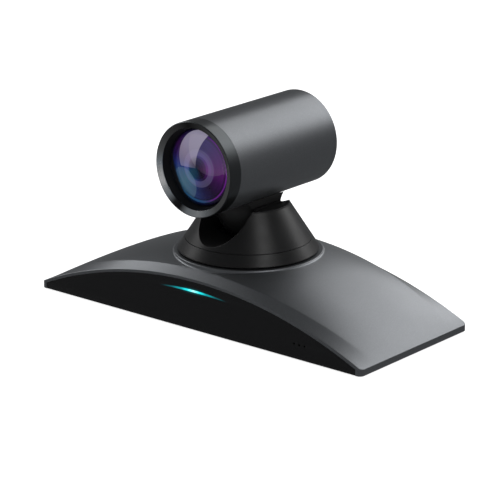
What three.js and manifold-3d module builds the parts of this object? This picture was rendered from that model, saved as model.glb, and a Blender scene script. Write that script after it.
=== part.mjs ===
// Conference-room PTZ camera: a long arched base, a conical turret that pans,
// and a cylindrical camera head that tilts in a U-shaped channel of the turret.
// Millimetres. +Z up, +X to the right seen from the front, the front faces -Y.
// Origin: on the resting surface, under the middle of the base.
import * as THREE from 'three';
import { mergeVertices } from 'three/addons/utils/BufferGeometryUtils.js';
import Module from 'manifold-3d';

const wasm = await Module();
wasm.setup();

// ------------------------------------------------------------------ driving dimensions
const GAP = 0.3;                 // clearance between neighbouring solids

// base cover
const BASE_HX = 200;             // half length
const BASE_HY = 83;              // half depth
const BASE_Z0 = 1.0;             // lower edge of the cover above the table
const BASE_END_Z = 7.5;          // height of the end faces
const RIM_APEX = 51.66;          // top of the front face in the middle
const CORNER_R = 5;              // plan radius of the four corners
const WALL = 2.7;                // cover wall, measured vertically
const CROWN = [68.78, 0.0011649, 4.607];        // crown line h(y)
const CREASE = [74.86, 9.855, 5.988];           // |y| of the crease over (x/200)^2

// front and rear panels
const PANEL_HW = 193.5;          // half width of the panel window
const PANEL_R = 467.8;           // radius of its upper edge
const PANEL_ZC = -418.9;         // centre height of that edge
const PANEL_Y = 82.7;            // outer face of the panels
const PANEL_T = 2.5;             // panel thickness

// turret
const AX_Y = -1.12;              // pan axis, and tilt axis, in Y
const CONE_APEX = 171.65;        // virtual apex height of the cone
const CONE_K = 0.64;             // radius gained per mm below the apex
const TURRET_Z0 = 64.12;         // lower edge of the cone
const SEAM_Z = 75.3;             // joint between the skirt and the cone shell
const EAR_Z = 110.5;             // flat top of the two ears
const COLLAR_Z = 62.9;           // top of the collar on the cover
const COLLAR_R = 71.4;

// channel in the turret and neck of the head
const TILT_Z = 105;              // tilt axis height
const CHAN_R = 26.6;             // channel radius
const CHAN_TOP = 28;             // half width of the channel at its top
const BALL_R = 31;               // neck ball
const NECK_HX = 21.9;            // half width of the neck
const POCKET_R = 32.2;

// head
const HEAD_R = 46.07;            // barrel radius
const HEAD_Z = 158.84;           // barrel axis height
const HEAD_Y0 = -82.43;          // front face
const HEAD_Y1 = 77.64;           // rear face
const BEZEL_Y = -66.9;           // joint between the bezel ring and the barrel
const BARREL_IR = 43.5;
const GLASS_R = 36.5;

// gears
const PAN_M = 1.0, PAN_N = 72, PAN_P = 12;      // module, gear teeth, pinion teeth
const TILT_M = 0.75, TILT_N = 64, TILT_P = 12;
const PAN_X = -(PAN_M * (PAN_N + PAN_P)) / 2;   // pan pinion centre
const TILT_PZ = TILT_Z - (TILT_M * (TILT_N + TILT_P)) / 2; // tilt pinion centre

// ------------------------------------------------------------------ helpers
function solid(geometry) {
  let g = geometry.index ? geometry.toNonIndexed() : geometry.clone();
  g.deleteAttribute('normal');
  g.deleteAttribute('uv');
  g = mergeVertices(g, 1e-4);
  const idx = g.index.array;
  const p = g.attributes.position.array;
  const tri = [];
  let vol = 0;
  for (let i = 0; i < idx.length; i += 3) {
    const [a, b, c] = [idx[i], idx[i + 1], idx[i + 2]];
    if (a === b || b === c || c === a) continue;
    tri.push(a, b, c);
    const [A, B, C] = [a, b, c].map((k) => new THREE.Vector3(p[3 * k], p[3 * k + 1], p[3 * k + 2]));
    vol += A.dot(B.cross(C));
  }
  if (vol < 0) for (let i = 0; i < tri.length; i += 3) [tri[i], tri[i + 1]] = [tri[i + 1], tri[i]];
  return new wasm.Manifold(new wasm.Mesh({
    numProp: 3,
    vertProperties: new Float32Array(p),
    triVerts: new Uint32Array(tri),
  }));
}

function geometryOf(man) {
  const m = man.getMesh();
  const g = new THREE.BufferGeometry();
  g.setAttribute('position', new THREE.BufferAttribute(new Float32Array(m.vertProperties), 3));
  g.setIndex(new THREE.BufferAttribute(new Uint32Array(m.triVerts), 1));
  return g;
}

const cut = (a, ...bs) => bs.reduce((s, b) => s.subtract(b), a);
const join = (a, ...bs) => bs.reduce((s, b) => s.add(b), a);
const both = (a, b) => a.intersect(b);

function box(x0, x1, y0, y1, z0, z1) {
  const g = new THREE.BoxGeometry(x1 - x0, y1 - y0, z1 - z0);
  g.translate((x0 + x1) / 2, (y0 + y1) / 2, (z0 + z1) / 2);
  return solid(g);
}

// solid of revolution; pts are [radius, height along the axis]
function rev(axis, pts, seg, at = [0, 0, 0]) {
  const closed = pts[0][0] > 1e-6 || pts[pts.length - 1][0] > 1e-6;
  const v = pts.map(([r, h]) => new THREE.Vector2(r, h));
  if (closed) v.push(v[0].clone());
  const g = new THREE.LatheGeometry(v, seg);
  if (axis === 'z') g.rotateX(Math.PI / 2);
  if (axis === 'x') g.rotateZ(-Math.PI / 2);
  g.translate(...at);
  return solid(g);
}
const rod = (axis, r, a, b, seg, at) => rev(axis, [[0, a], [r, a], [r, b], [0, b]], seg, at);
const tube = (axis, r0, r1, a, b, seg, at) => rev(axis, [[r0, a], [r1, a], [r1, b], [r0, b]], seg, at);

// prism of a polygon; the polygon's plane is XY, XZ or YZ
function prism(axis, pts, a, b, holes = []) {
  const shape = new THREE.Shape(pts.map(([u, v]) => new THREE.Vector2(u, v)));
  for (const h of holes) shape.holes.push(new THREE.Path(h.map(([u, v]) => new THREE.Vector2(u, v))));
  const g = new THREE.ExtrudeGeometry(shape, { depth: b - a, bevelEnabled: false, curveSegments: 1 });
  const m = new THREE.Matrix4();
  if (axis === 'z') m.makeTranslation(0, 0, a);
  if (axis === 'y') {
    m.makeBasis(new THREE.Vector3(1, 0, 0), new THREE.Vector3(0, 0, 1), new THREE.Vector3(0, -1, 0));
    m.setPosition(0, b, 0);
  }
  if (axis === 'x') {
    m.makeBasis(new THREE.Vector3(0, 1, 0), new THREE.Vector3(0, 0, 1), new THREE.Vector3(1, 0, 0));
    m.setPosition(a, 0, 0);
  }
  g.applyMatrix4(m);
  return solid(g);
}

function circle(r, n, cx = 0, cy = 0, a0 = 0) {
  return Array.from({ length: n }, (_, i) => {
    const t = a0 + (2 * Math.PI * i) / n;
    return [cx + r * Math.cos(t), cy + r * Math.sin(t)];
  });
}

function roundRect(hx, hy, r, n) {
  const out = [];
  for (const [sx, sy, a] of [[1, 1, 0], [-1, 1, 90], [-1, -1, 180], [1, -1, 270]]) {
    for (let i = 0; i <= n; i++) {
      const t = ((a + (90 * i) / n) * Math.PI) / 180;
      out.push([sx * (hx - r) + r * Math.cos(t), sy * (hy - r) + r * Math.sin(t)]);
    }
  }
  return out;
}

const group = new THREE.Group();
const LOOK = {
  greyPaint: [0x55585c, 0.38, 0.75], blackGloss: [0x08090a, 0.18, 0.0], blackSatin: [0x17181a, 0.38, 0.0],
  darkMetal: [0x3c4043, 0.25, 0.9], glass: [0x35205c, 0.05, 0.0], cyan: [0x18d8e6, 0.4, 0.0],
  rubber: [0x1b1b1c, 0.85, 0.0], steel: [0xa6a9ab, 0.35, 0.9], zinc: [0x8d9194, 0.4, 0.85],
  pcb: [0x1d4a33, 0.5, 0.1], alloy: [0xb4b8bb, 0.4, 0.8], nylon: [0xd9d5c7, 0.5, 0.0],
  brass: [0xb08d3e, 0.35, 0.9], plastic: [0x242527, 0.5, 0.0],
};
function part(name, man, look) {
  const [color, roughness, metalness] = LOOK[look];
  const mesh = new THREE.Mesh(geometryOf(man), new THREE.MeshStandardMaterial({ color, roughness, metalness }));
  mesh.name = name;
  group.add(mesh);
}

// ------------------------------------------------------------------ base cover
function arcZ(x, apex) {          // arc through (+-200, end height) with the given apex
  const s = apex - BASE_END_Z;
  const R = (BASE_HX * BASE_HX + s * s) / (2 * s);
  return apex - R + Math.sqrt(R * R - x * x);
}
const crown = (y) => CROWN[0] - CROWN[1] * y * y - CROWN[2] * (y / 80) ** 4;
function crease(x) {
  const t = (x / BASE_HX) ** 2;
  return CREASE[0] - CREASE[1] * t - CREASE[2] * t * t;
}
function topZ(x, y) {
  const c = crease(x);
  const ay = Math.abs(y);
  if (ay <= c) return arcZ(x, crown(ay));
  const z1 = arcZ(x, crown(c));
  const z0 = arcZ(x, RIM_APEX);
  return z0 + ((z1 - z0) * (BASE_HY - ay)) / (BASE_HY - c);
}

// closed block under a height field; rows run across the depth at each station
function fieldBlock(hx, nx, rowsOf, zOf, zb) {
  const pos = [];
  const tri = [];
  const xs = Array.from({ length: nx + 1 }, (_, i) => -hx + (2 * hx * i) / nx);
  const m = rowsOf(0).length;
  for (const x of xs) rowsOf(x).forEach((y) => pos.push([x, y, zOf(x, y)]));
  const id = (i, j) => i * m + j;
  for (let i = 0; i < nx; i++) {
    for (let j = 0; j < m - 1; j++) {
      const [a, b, c, d] = [id(i, j), id(i + 1, j), id(i + 1, j + 1), id(i, j + 1)];
      tri.push([a, b, c], [a, c, d]);
    }
  }
  const loop = [];
  for (let i = 0; i <= nx; i++) loop.push(id(i, 0));
  for (let j = 1; j < m; j++) loop.push(id(nx, j));
  for (let i = nx - 1; i >= 0; i--) loop.push(id(i, m - 1));
  for (let j = m - 2; j > 0; j--) loop.push(id(0, j));
  const base = loop.map((k) => pos.push([pos[k][0], pos[k][1], zb]) - 1);
  const centre = pos.push([0, 0, zb]) - 1;
  for (let k = 0; k < loop.length; k++) {
    const n = (k + 1) % loop.length;
    tri.push([loop[k], base[k], base[n]], [loop[k], base[n], loop[n]]);
    tri.push([base[k], centre, base[n]]);
  }
  const g = new THREE.BufferGeometry();
  g.setAttribute('position', new THREE.BufferAttribute(new Float32Array(pos.flat()), 3));
  g.setIndex(tri.flat());
  return solid(g);
}
const rows = (inner) => (x) => {
  const c = crease(x) - inner * 1.0;
  const f = inner ? [0.7, 0.35] : [0.86, 0.6, 0.3];
  const hy = BASE_HY - inner * 3.0;
  return [-hy, -c, ...f.map((k) => -k * c), 0, ...[...f].reverse().map((k) => k * c), c, hy];
};
const archOutline = (hw, R, zb, n) => {
  const pts = [[-hw, zb], [hw, zb]];
  for (let i = 0; i <= n; i++) {
    const x = hw - (2 * hw * i) / n;
    pts.push([x, PANEL_ZC + Math.sqrt(R * R - x * x)]);
  }
  return pts;
};

const BOSS = [[180, 57], [-180, 57], [180, -57], [-180, -57]];
{
  const outer = fieldBlock(BASE_HX, 24, rows(0), topZ, BASE_Z0);
  let cover = both(outer, prism('z', roundRect(BASE_HX, BASE_HY, CORNER_R, 5), -1, COLLAR_Z));
  cover = join(cover, rev('z', [[0, 50], [74, 50], [73.4, 59.5], [72.3, 61.9], [COLLAR_R, COLLAR_Z], [0, COLLAR_Z]], 48, [0, AX_Y, 0]));
  const inner = fieldBlock(BASE_HX - 2.8, 14, rows(1), (x, y) => topZ(x, y) - WALL - (Math.abs(y) > crease(x) ? 0.5 : 0), -3);
  const well = rod('z', 69.5, 56, 90, 24, [0, AX_Y, 0]);
  cover = cut(cover, cut(inner, well));
  cover = cut(cover, rod('z', 66, 58.5, 90, 40, [0, AX_Y, 0]), rod('z', 27, 50, 90, 20, [0, AX_Y, 0]));
  for (const [x, y] of BOSS) {
    cover = join(cover, rod('z', 4, 4.2, topZ(Math.abs(x) + 4.2, Math.abs(y) + 3) - 0.8, 10, [x, y, 0]));
    cover = cut(cover, rod('z', 1.8, 0, 13, 10, [x, y, 0]));
  }
  const win = archOutline(PANEL_HW, PANEL_R, -5, 24);
  cover = cut(cover, prism('y', win, -90, -79.9), prism('y', win, 79.9, 90));
  part('base_cover', cover, 'greyPaint');
}

// ------------------------------------------------------------------ front panel, light bar, microphones
const LIGHT = { zc: -410.2, R: 450, hx: 41, h: 0.95, tip: 0.3 };
function lightStrip(grow) {
  const up = [];
  const dn = [];
  const hx = LIGHT.hx + grow;
  for (let i = 0; i <= 12; i++) {
    const x = -hx + (2 * hx * i) / 12;
    const z = LIGHT.zc + Math.sqrt(LIGHT.R ** 2 - x * x);
    const h = LIGHT.tip + (LIGHT.h - LIGHT.tip) * (1 - (x / hx) ** 2) + grow;
    up.push([x, z + h]);
    dn.push([x, z - h]);
  }
  return [...dn, ...up.reverse()];
}
const MIC_X = [122.4, 128.4, 134.4];
const MIC_Z = 15.4;
{
  let panel = prism('y', archOutline(PANEL_HW - GAP, PANEL_R - GAP, 1.4, 24), -PANEL_Y, -PANEL_Y + PANEL_T);
  panel = cut(panel, prism('y', lightStrip(GAP), -90, -70));
  for (const x of MIC_X) panel = cut(panel, rod('y', 1.1, -90, -70, 12, [x, 0, MIC_Z]));
  part('front_panel', panel, 'blackGloss');
  part('status_light_guide', prism('y', lightStrip(0), -PANEL_Y, -78.6), 'cyan');
  part('led_board', box(-46, 46, -78.2, -76.6, 33, 44), 'pcb');
  part('microphone_board', join(box(116, 141, -78.4, -76.8, 9.5, 21), ...MIC_X.map((x) => rod('y', 2.4, -79.8, -78, 12, [x, 0, MIC_Z]))), 'pcb');
}

// ------------------------------------------------------------------ base plate, feet, screws
const STANDOFF = [[-112, 0], [112, 0], [-112, 66], [112, 66]];
{
  let plate = prism('z', roundRect(196.5, 79.3, 3, 2), 1.8, 3.8);
  for (const [x, y] of STANDOFF) plate = join(plate, rod('z', 3, 3, 8.7, 8, [x, y, 0]));
  for (const [x, y] of BOSS) plate = cut(plate, rod('z', 3.2, 0, 8, 12, [x, y, 0]));
  part('base_plate', plate, 'zinc');
  const feet = { foot_front_left: [-172, -66], foot_front_right: [172, -66], foot_rear_left: [-172, 66], foot_rear_right: [172, 66] };
  for (const [n, [x, y]] of Object.entries(feet)) {
    part(n, rev('z', [[0, 0], [7.4, 0], [8, 0.5], [8, 1.5], [0, 1.5]], 20, [x - Math.sign(x) * 12, y, 0]), 'rubber');
  }
  const names = ['plate_screw_rear_right', 'plate_screw_rear_left', 'plate_screw_front_right', 'plate_screw_front_left'];
  BOSS.forEach(([x, y], i) => part(names[i], rev('z', [[0, 1.95], [2.9, 1.95], [2.9, 3.7], [1.5, 3.7], [1.5, 12], [0, 12]], 12, [x, y, 0]), 'steel'));
}

// ------------------------------------------------------------------ main board, heat sink, sockets
const BOARD_Z = 10.6;
{
  part('main_board', box(-120, 120, -10, 74, 9.0, BOARD_Z), 'pcb');
  const fins = [[22, BOARD_Z + GAP], [82, BOARD_Z + GAP], [82, 30]];
  for (let i = 0; i < 8; i++) {
    const x = 82 - i * 8.17;
    fins.push([x - 2, 30], [x - 2, 14]);
    if (i < 7) fins.push([x - 8.17, 14], [x - 8.17, 30]);
  }
  fins.splice(fins.length - 2, 2, [22.8, 30], [22, 30]);
  part('heat_sink', prism('y', fins, 8, 52), 'alloy');
}
// socket bodies: centre x, half width, z range, y range
const SOCK_Y = 82.2;
const S = {
  dc: { x: -96, hw: 4.7, z0: 10.9, z1: 21.9, y0: 68 },
  eth: { x: -70, hw: 8, z0: 10.9, z1: 24.4, y0: 61 },
  usbL: { x: -42, hw: 7.2, z0: 10.9, z1: 17.9, y0: 68 },
  usbR: { x: -22, hw: 7.2, z0: 10.9, z1: 17.9, y0: 68 },
  hdmiL: { x: 4, hw: 7.8, z0: 10.9, z1: 17.1, y0: 70 },
  hdmiR: { x: 27, hw: 7.8, z0: 10.9, z1: 17.1, y0: 70 },
  mic: { x: 50, hw: 3.6, z0: 10.9, z1: 17.9, y0: 69 },
};
const BTN = { x: 96, z: 17, r: 5 };
{
  const dc = cut(box(S.dc.x - S.dc.hw, S.dc.x + S.dc.hw, S.dc.y0, SOCK_Y, S.dc.z0, S.dc.z1),
    tube('y', 1.05, 3.2, 71.5, 90, 20, [S.dc.x, 0, 16.6]), tube('y', 0, 3.2, 80.5, 90, 20, [S.dc.x, 0, 16.6]));
  part('power_inlet', dc, 'plastic');
  const e = S.eth;
  const eth = cut(box(e.x - e.hw, e.x + e.hw, e.y0, SOCK_Y, e.z0, e.z1), box(e.x - 5.9, e.x + 5.9, 68.5, 90, 14.4, 22.0), box(e.x - 3, e.x + 3, 74, 90, 12.6, 15));
  part('ethernet_socket', eth, 'steel');
  for (const [n, s] of [['usb_socket_left', S.usbL], ['usb_socket_right', S.usbR]]) {
    const zc = (s.z0 + s.z1) / 2;
    part(n, join(cut(box(s.x - s.hw, s.x + s.hw, s.y0, SOCK_Y, s.z0, s.z1), box(s.x - 6.4, s.x + 6.4, 71, 90, zc - 2.7, zc + 2.7)),
      box(s.x - 5.5, s.x + 5.5, 70, 81.2, zc + 0.3, zc + 2.1)), 'steel');
  }
  for (const [n, s] of [['hdmi_socket_left', S.hdmiL], ['hdmi_socket_right', S.hdmiR]]) {
    const zc = (s.z0 + s.z1) / 2;
    const hole = [[s.x - 5.2, zc - 2.3], [s.x + 5.2, zc - 2.3], [s.x + 7.1, zc - 0.6], [s.x + 7.1, zc + 2.3], [s.x - 7.1, zc + 2.3], [s.x - 7.1, zc - 0.6]];
    part(n, join(cut(box(s.x - s.hw, s.x + s.hw, s.y0, SOCK_Y, s.z0, s.z1), prism('y', hole, 73, 90)),
      box(s.x - 5.8, s.x + 5.8, 72, 81.2, zc - 0.2, zc + 0.8)), 'steel');
  }
  const m = S.mic;
  part('microphone_jack', cut(box(m.x - m.hw, m.x + m.hw, m.y0, SOCK_Y, m.z0, m.z1), rod('y', 1.8, 71, 90, 16, [m.x, 0, 14.4])), 'plastic');

  let rear = prism('y', archOutline(PANEL_HW - GAP, PANEL_R - GAP, 1.4, 24), PANEL_Y - PANEL_T, PANEL_Y);
  for (const s of Object.values(S)) rear = cut(rear, box(s.x - s.hw - GAP, s.x + s.hw + GAP, 70, 90, s.z0 - GAP, s.z1 + GAP));
  rear = cut(rear, rod('y', BTN.r + 0.35, 70, 90, 16, [BTN.x, 0, BTN.z]));
  part('rear_panel', rear, 'blackSatin');
  part('power_button', rev('y', [[0, 77.6], [6.4, 77.6], [6.4, 79.6], [BTN.r, 79.6], [BTN.r, 82.5], [4.6, 82.9], [0, 82.9]], 16, [BTN.x, 0, BTN.z]), 'blackSatin');
}

// ------------------------------------------------------------------ gears
// straight-flanked teeth with backlash; a tooth is centred on angle a0
function toothPoints(m, n, a0, count) {
  const rp = (m * n) / 2;
  const ra = rp + 0.8 * m;
  const rf = rp - 1.15 * m;
  const sp = 0.215 * Math.PI * m;
  const t = Math.tan((20 * Math.PI) / 180);
  const out = [];
  for (let k = 0; k < count; k++) {
    const c = a0 + (2 * Math.PI * k) / n;
    for (const [r, sgn] of [[rf, -1], [ra, -1], [ra, 1], [rf, 1]]) {
      const s = sp - (r - rp) * t;
      const a = c + (sgn * s) / r;
      out.push([r, a]);
    }
  }
  return out;
}
function gearOutline(m, n, a0, cx, cy) {
  return toothPoints(m, n, a0, n).map(([r, a]) => [cx + r * Math.cos(a), cy + r * Math.sin(a)]);
}

// ------------------------------------------------------------------ pan mechanism in the base
{
  let frame = rod('z', 63, 38.6, 41, 28, [0, AX_Y, 0]);
  for (const d of [45, 135, 225, 315]) {
    const a = (d * Math.PI) / 180;
    frame = join(frame, rod('z', 4, 40, 55.7, 12, [57 * Math.cos(a), AX_Y + 57 * Math.sin(a), 0]));
  }
  frame = cut(frame, rod('z', 9.6, 30, 50, 20, [0, AX_Y, 0]), rod('z', 3.2, 30, 50, 12, [PAN_X, AX_Y, 0]));
  part('pan_frame', frame, 'zinc');
  part('pan_motor', join(rod('z', 14, 16, 36.6, 20, [PAN_X, AX_Y, 0]), prism('z', [[PAN_X - 19, AX_Y - 5], [PAN_X + 19, AX_Y - 5], [PAN_X + 19, AX_Y + 5], [PAN_X - 19, AX_Y + 5]], 36.2, 38.3)), 'steel');
  part('pan_pinion', join(prism('z', gearOutline(PAN_M, PAN_P, 0, PAN_X, AX_Y), 43, 47), rod('z', 2, 38.7, 44, 12, [PAN_X, AX_Y, 0])), 'brass');
  part('pan_spindle', rev('z', [[10, 41.3], [20, 41.3], [20, 43.9], [16, 43.9], [16, 62.4], [10, 62.4]], 20, [0, AX_Y, 0]), 'steel');
  part('pan_bearing', tube('z', 16.3, 20.1, 44.3, 62, 20, [0, AX_Y, 0]), 'brass');
  part('turret_hub', rev('z', [[20.7, 42.8], [24, 42.8], [24, 61.4], [34, 61.4], [34, 64.2], [20.7, 64.2]], 24, [0, AX_Y, 0]), 'alloy');
  const a0 = Math.PI + Math.PI / PAN_N;
  part('pan_gear', prism('z', gearOutline(PAN_M, PAN_N, a0, 0, AX_Y), 43, 47, [circle(24.4, 24, 0, AX_Y)]), 'nylon');
}

// ------------------------------------------------------------------ turret
const coneR = (z) => CONE_K * (CONE_APEX - z);
const CONE_WALL = 2.9;            // measured radially
function channel(grow) {          // U section along Y, open at the top
  const pts = [];
  for (let i = 0; i <= 16; i++) {
    const a = Math.PI + (Math.PI * i) / 16;
    pts.push([(CHAN_R + grow) * Math.cos(a), TILT_Z + (CHAN_R + grow) * Math.sin(a)]);
  }
  pts.push([CHAN_TOP + grow, EAR_Z + 1], [-CHAN_TOP - grow, EAR_Z + 1]);
  return prism('y', pts, -90, 90);
}
const innerCone = (z0, z1, clear) => rev('z', [[0, z0], [coneR(z0) - CONE_WALL - clear, z0], [coneR(z1) - CONE_WALL - clear, z1], [0, z1]], 40, [0, AX_Y, 0]);
{
  part('turret_skirt', rev('z', [
    [coneR(TURRET_Z0) - CONE_WALL, TURRET_Z0], [coneR(TURRET_Z0), TURRET_Z0], [coneR(SEAM_Z - 0.2), SEAM_Z - 0.2], [coneR(SEAM_Z - 0.2) - CONE_WALL, SEAM_Z - 0.2],
  ], 56, [0, AX_Y, 0]), 'blackSatin');
  const z0 = SEAM_Z + 0.2;
  let shell = rev('z', [[0, z0], [coneR(z0), z0], [coneR(EAR_Z), EAR_Z], [0, EAR_Z]], 56, [0, AX_Y, 0]);
  const cheeks = join(box(22.8, 31, AX_Y - 19.8, AX_Y + 19.8, 60, 120), box(-31, -22.8, AX_Y - 19.8, AX_Y + 19.8, 60, 120));
  shell = cut(shell, cut(channel(0), cheeks), cut(innerCone(z0 - 3, EAR_Z - 2, 0), channel(2.4)));
  shell = cut(shell, rod('x', POCKET_R, -22.8, 22.8, 28, [0, AX_Y, TILT_Z]));
  shell = cut(shell, rod('x', 3.9, -32, 32, 20, [0, AX_Y, TILT_Z]));
  part('turret_shell', shell, 'blackSatin');
  part('turret_platform', cut(rod('z', 63, 64.5, 67, 36, [0, AX_Y, 0]), rod('z', 10, 60, 70, 20, [0, AX_Y, 0])), 'zinc');
  const plate = (s) => {
    const x = [35.3 * s, 37.0 * s].sort((a, b) => a - b);
    let p = both(box(x[0], x[1], AX_Y - 17, AX_Y + 17, 67.3, 108.1), innerCone(60, 108.1, 0.35));
    p = join(p, both(box(...[37.0 * s, 46 * s].sort((a, b) => a - b), AX_Y - 17, AX_Y - 12, 67.3, 69.2), innerCone(60, 108.1, 0.35)));
    return cut(p, rod('x', 2.4, -50, 50, 16, [0, AX_Y, TILT_Z]));
  };
  part('tilt_bracket_left', plate(-1), 'zinc');
  part('tilt_bracket_right', cut(plate(1), rod('x', 2.2, 30, 50, 12, [0, AX_Y, TILT_PZ])), 'zinc');
  part('tilt_bearing_left', tube('x', 2.3, 3.6, -30.9, -26.9, 20, [0, AX_Y, TILT_Z]), 'brass');
  part('tilt_bearing_right', tube('x', 2.3, 3.6, 26.9, 30.9, 20, [0, AX_Y, TILT_Z]), 'brass');
  part('tilt_motor', rod('x', 8, 37.4, 49.5, 16, [0, AX_Y, TILT_PZ]), 'steel');
  part('tilt_pinion', join(prism('x', gearOutline(TILT_M, TILT_P, Math.PI / 2 + Math.PI / TILT_P, AX_Y, TILT_PZ), 31.4, 34.6), rod('x', 1.4, 34, 36.9, 12, [0, AX_Y, TILT_PZ])), 'brass');
}

// ------------------------------------------------------------------ neck, trunnions, tilt gear
{
  const ballSeg = 32;
  const ball = [];
  for (let i = 0; i <= 16; i++) {
    const a = -Math.PI / 2 + (Math.PI * i) / 16;
    ball.push([Math.abs(BALL_R * Math.cos(a)) < 1e-6 ? 0 : BALL_R * Math.cos(a), BALL_R * Math.sin(a)]);
  }
  let neck = rev('x', ball, ballSeg, [0, AX_Y, TILT_Z]);
  neck = join(neck, rev('z', [[0, 104], [31, 104], [31, 108], [31.1, 110], [31.9, 112.5], [33.4, 115.5], [35.9, 119.5], [40, 126], [0, 126]], ballSeg, [0, AX_Y, 0]));
  neck = both(neck, box(-NECK_HX, NECK_HX, -60, 60, 60, 130));
  neck = cut(neck, rod('y', HEAD_R + 0.45, -90, 90, 64, [0, 0, HEAD_Z]));
  neck = cut(neck, rod('x', 2.6, -60, 60, 16, [0, AX_Y, TILT_Z]));
  part('neck', neck, 'blackSatin');
  const trunnion = (s) => rev('x', s > 0
    ? [[0, 18], [2.2, 18], [2.2, 22.05], [6, 22.05], [6, 22.6], [2, 22.6], [2, 37.4], [0, 37.4]]
    : [[0, -37.4], [2, -37.4], [2, -22.6], [6, -22.6], [6, -22.05], [2.2, -22.05], [2.2, -18], [0, -18]], 14, [0, AX_Y, TILT_Z]);
  part('trunnion_left', trunnion(-1), 'steel');
  part('trunnion_right', cut(trunnion(1), rod('x', 6, 37.0, 40, 12, [0, AX_Y, TILT_Z])), 'steel');

  const half = 6;
  const step = (2 * Math.PI) / TILT_N;
  const teeth = toothPoints(TILT_M, TILT_N, -Math.PI / 2 - half * step, 2 * half + 1);
  const poly = teeth.map(([r, a]) => [AX_Y + r * Math.cos(a), TILT_Z + r * Math.sin(a)]);
  for (const d of [-20, 15, 50, 90, 130, 165, 200]) {
    const a = (d * Math.PI) / 180;
    poly.push([AX_Y + 3.4 * Math.cos(a), TILT_Z + 3.4 * Math.sin(a)]);
  }
  part('tilt_gear', prism('x', poly, 31.4, 34.6, [circle(2.3, 16, AX_Y, TILT_Z)]), 'nylon');
}

// ------------------------------------------------------------------ camera head
{
  const at = [0, 0, HEAD_Z];
  let barrel = rev('y', [
    [BARREL_IR, BEZEL_Y + 0.15], [HEAD_R, BEZEL_Y + 0.15], [HEAD_R, HEAD_Y1 - 0.8], [HEAD_R - 0.8, HEAD_Y1], [BARREL_IR, HEAD_Y1],
  ], 56, at);
  barrel = cut(barrel, rod('z', 9, 100, 140, 20, [0, AX_Y, 0]));
  part('barrel_housing', barrel, 'greyPaint');
  part('front_bezel', rev('y', [
    [40.6, BEZEL_Y - 0.15], [40.6, -79.3], [39.2, -79.9], [39.2, -80.7], [44.9, HEAD_Y0], [45.6, HEAD_Y0], [HEAD_R, -81.9], [HEAD_R, BEZEL_Y - 0.15],
  ], 56, at), 'darkMetal');
  part('lens_shroud', rev('y', [
    [40.3, -68.2], [40.3, -79.0], [39.0, -79.5], [37.2, -71.4], [37.2, -69.3], [35, -69.3], [35, -68.2],
  ], 40, at), 'blackSatin');
  const sag = 5.4;
  const Rg = (GLASS_R ** 2 + sag ** 2) / (2 * sag);
  const dome = [[0, -69.6], [GLASS_R, -69.6], [GLASS_R, -71.1]];
  for (let i = 1; i <= 4; i++) {
    const r = GLASS_R * (1 - i / 4);
    dome.push([i === 4 ? 0 : r, -71.1 - sag + Rg - Math.sqrt(Rg * Rg - r * r)]);
  }
  part('lens_window', rev('y', dome, 40, at), 'glass');
  part('lens_tube', rev('y', [
    [34.6, -69.0], [34.6, -46], [19.5, -46], [19.5, -50], [22, -50], [22, -54], [26, -54], [26, -58.5], [30, -58.5], [30, -64], [33, -64], [33, -69.0],
  ], 28, at), 'blackSatin');
  part('lens_element_front', rev('y', [
    [0, -49.6], [19.2, -49.6], [19.2, -51.0], [16, -53.0], [11, -54.9], [0, -56.4],
  ], 24, at), 'glass');
  // camera block: a rectangular zoom lens body with a round bore
  part('camera_block', cut(box(-25, 25, -45.6, 34, HEAD_Z - 28, HEAD_Z + 28), rod('y', 17, -60, 32, 24, at)), 'plastic');
  part('zoom_carriage', tube('y', 10.5, 16.4, -34, -25, 24, at), 'plastic');
  part('zoom_lens', rev('y', [[0, -32.4], [6, -32.0], [10.2, -30.6], [10.2, -28.4], [6, -27.0], [0, -26.6]], 20, at), 'glass');
  part('focus_carriage', tube('y', 8.5, 16.4, 4, 11, 24, at), 'plastic');
  part('focus_lens', rev('y', [[0, 5.3], [8.2, 6.6], [8.2, 8.8], [0, 10.1]], 24, at), 'glass');
  part('image_sensor_board', join(box(-21, 21, 34.4, 36, HEAD_Z - 22, HEAD_Z + 22), box(-13, 13, 36, 38.4, HEAD_Z - 9, HEAD_Z + 9)), 'pcb');
  part('head_board', cut(rod('y', 40, 54, 55.6, 40, at), box(-50, 50, 50, 60, HEAD_Z + 30, HEAD_Z + 50), box(-50, 50, 50, 60, HEAD_Z - 50, HEAD_Z - 27.9)), 'pcb');
  part('head_chassis', join(box(-20, 20, -30, 60, HEAD_Z - 33, HEAD_Z - 28.4), box(-20, 20, 56.2, 60, HEAD_Z - 33, HEAD_Z + 26)), 'zinc');
  part('rear_cap', rev('y', [[0, 74.4], [43.1, 74.4], [43.1, 76.9], [42.5, 77.2], [0, 77.2]], 40, at), 'blackSatin');
}

export default group;
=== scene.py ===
import math
import bpy
import bmesh
import numpy as np
from mathutils import Vector, Matrix
from mathutils.geometry import delaunay_2d_cdt


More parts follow.
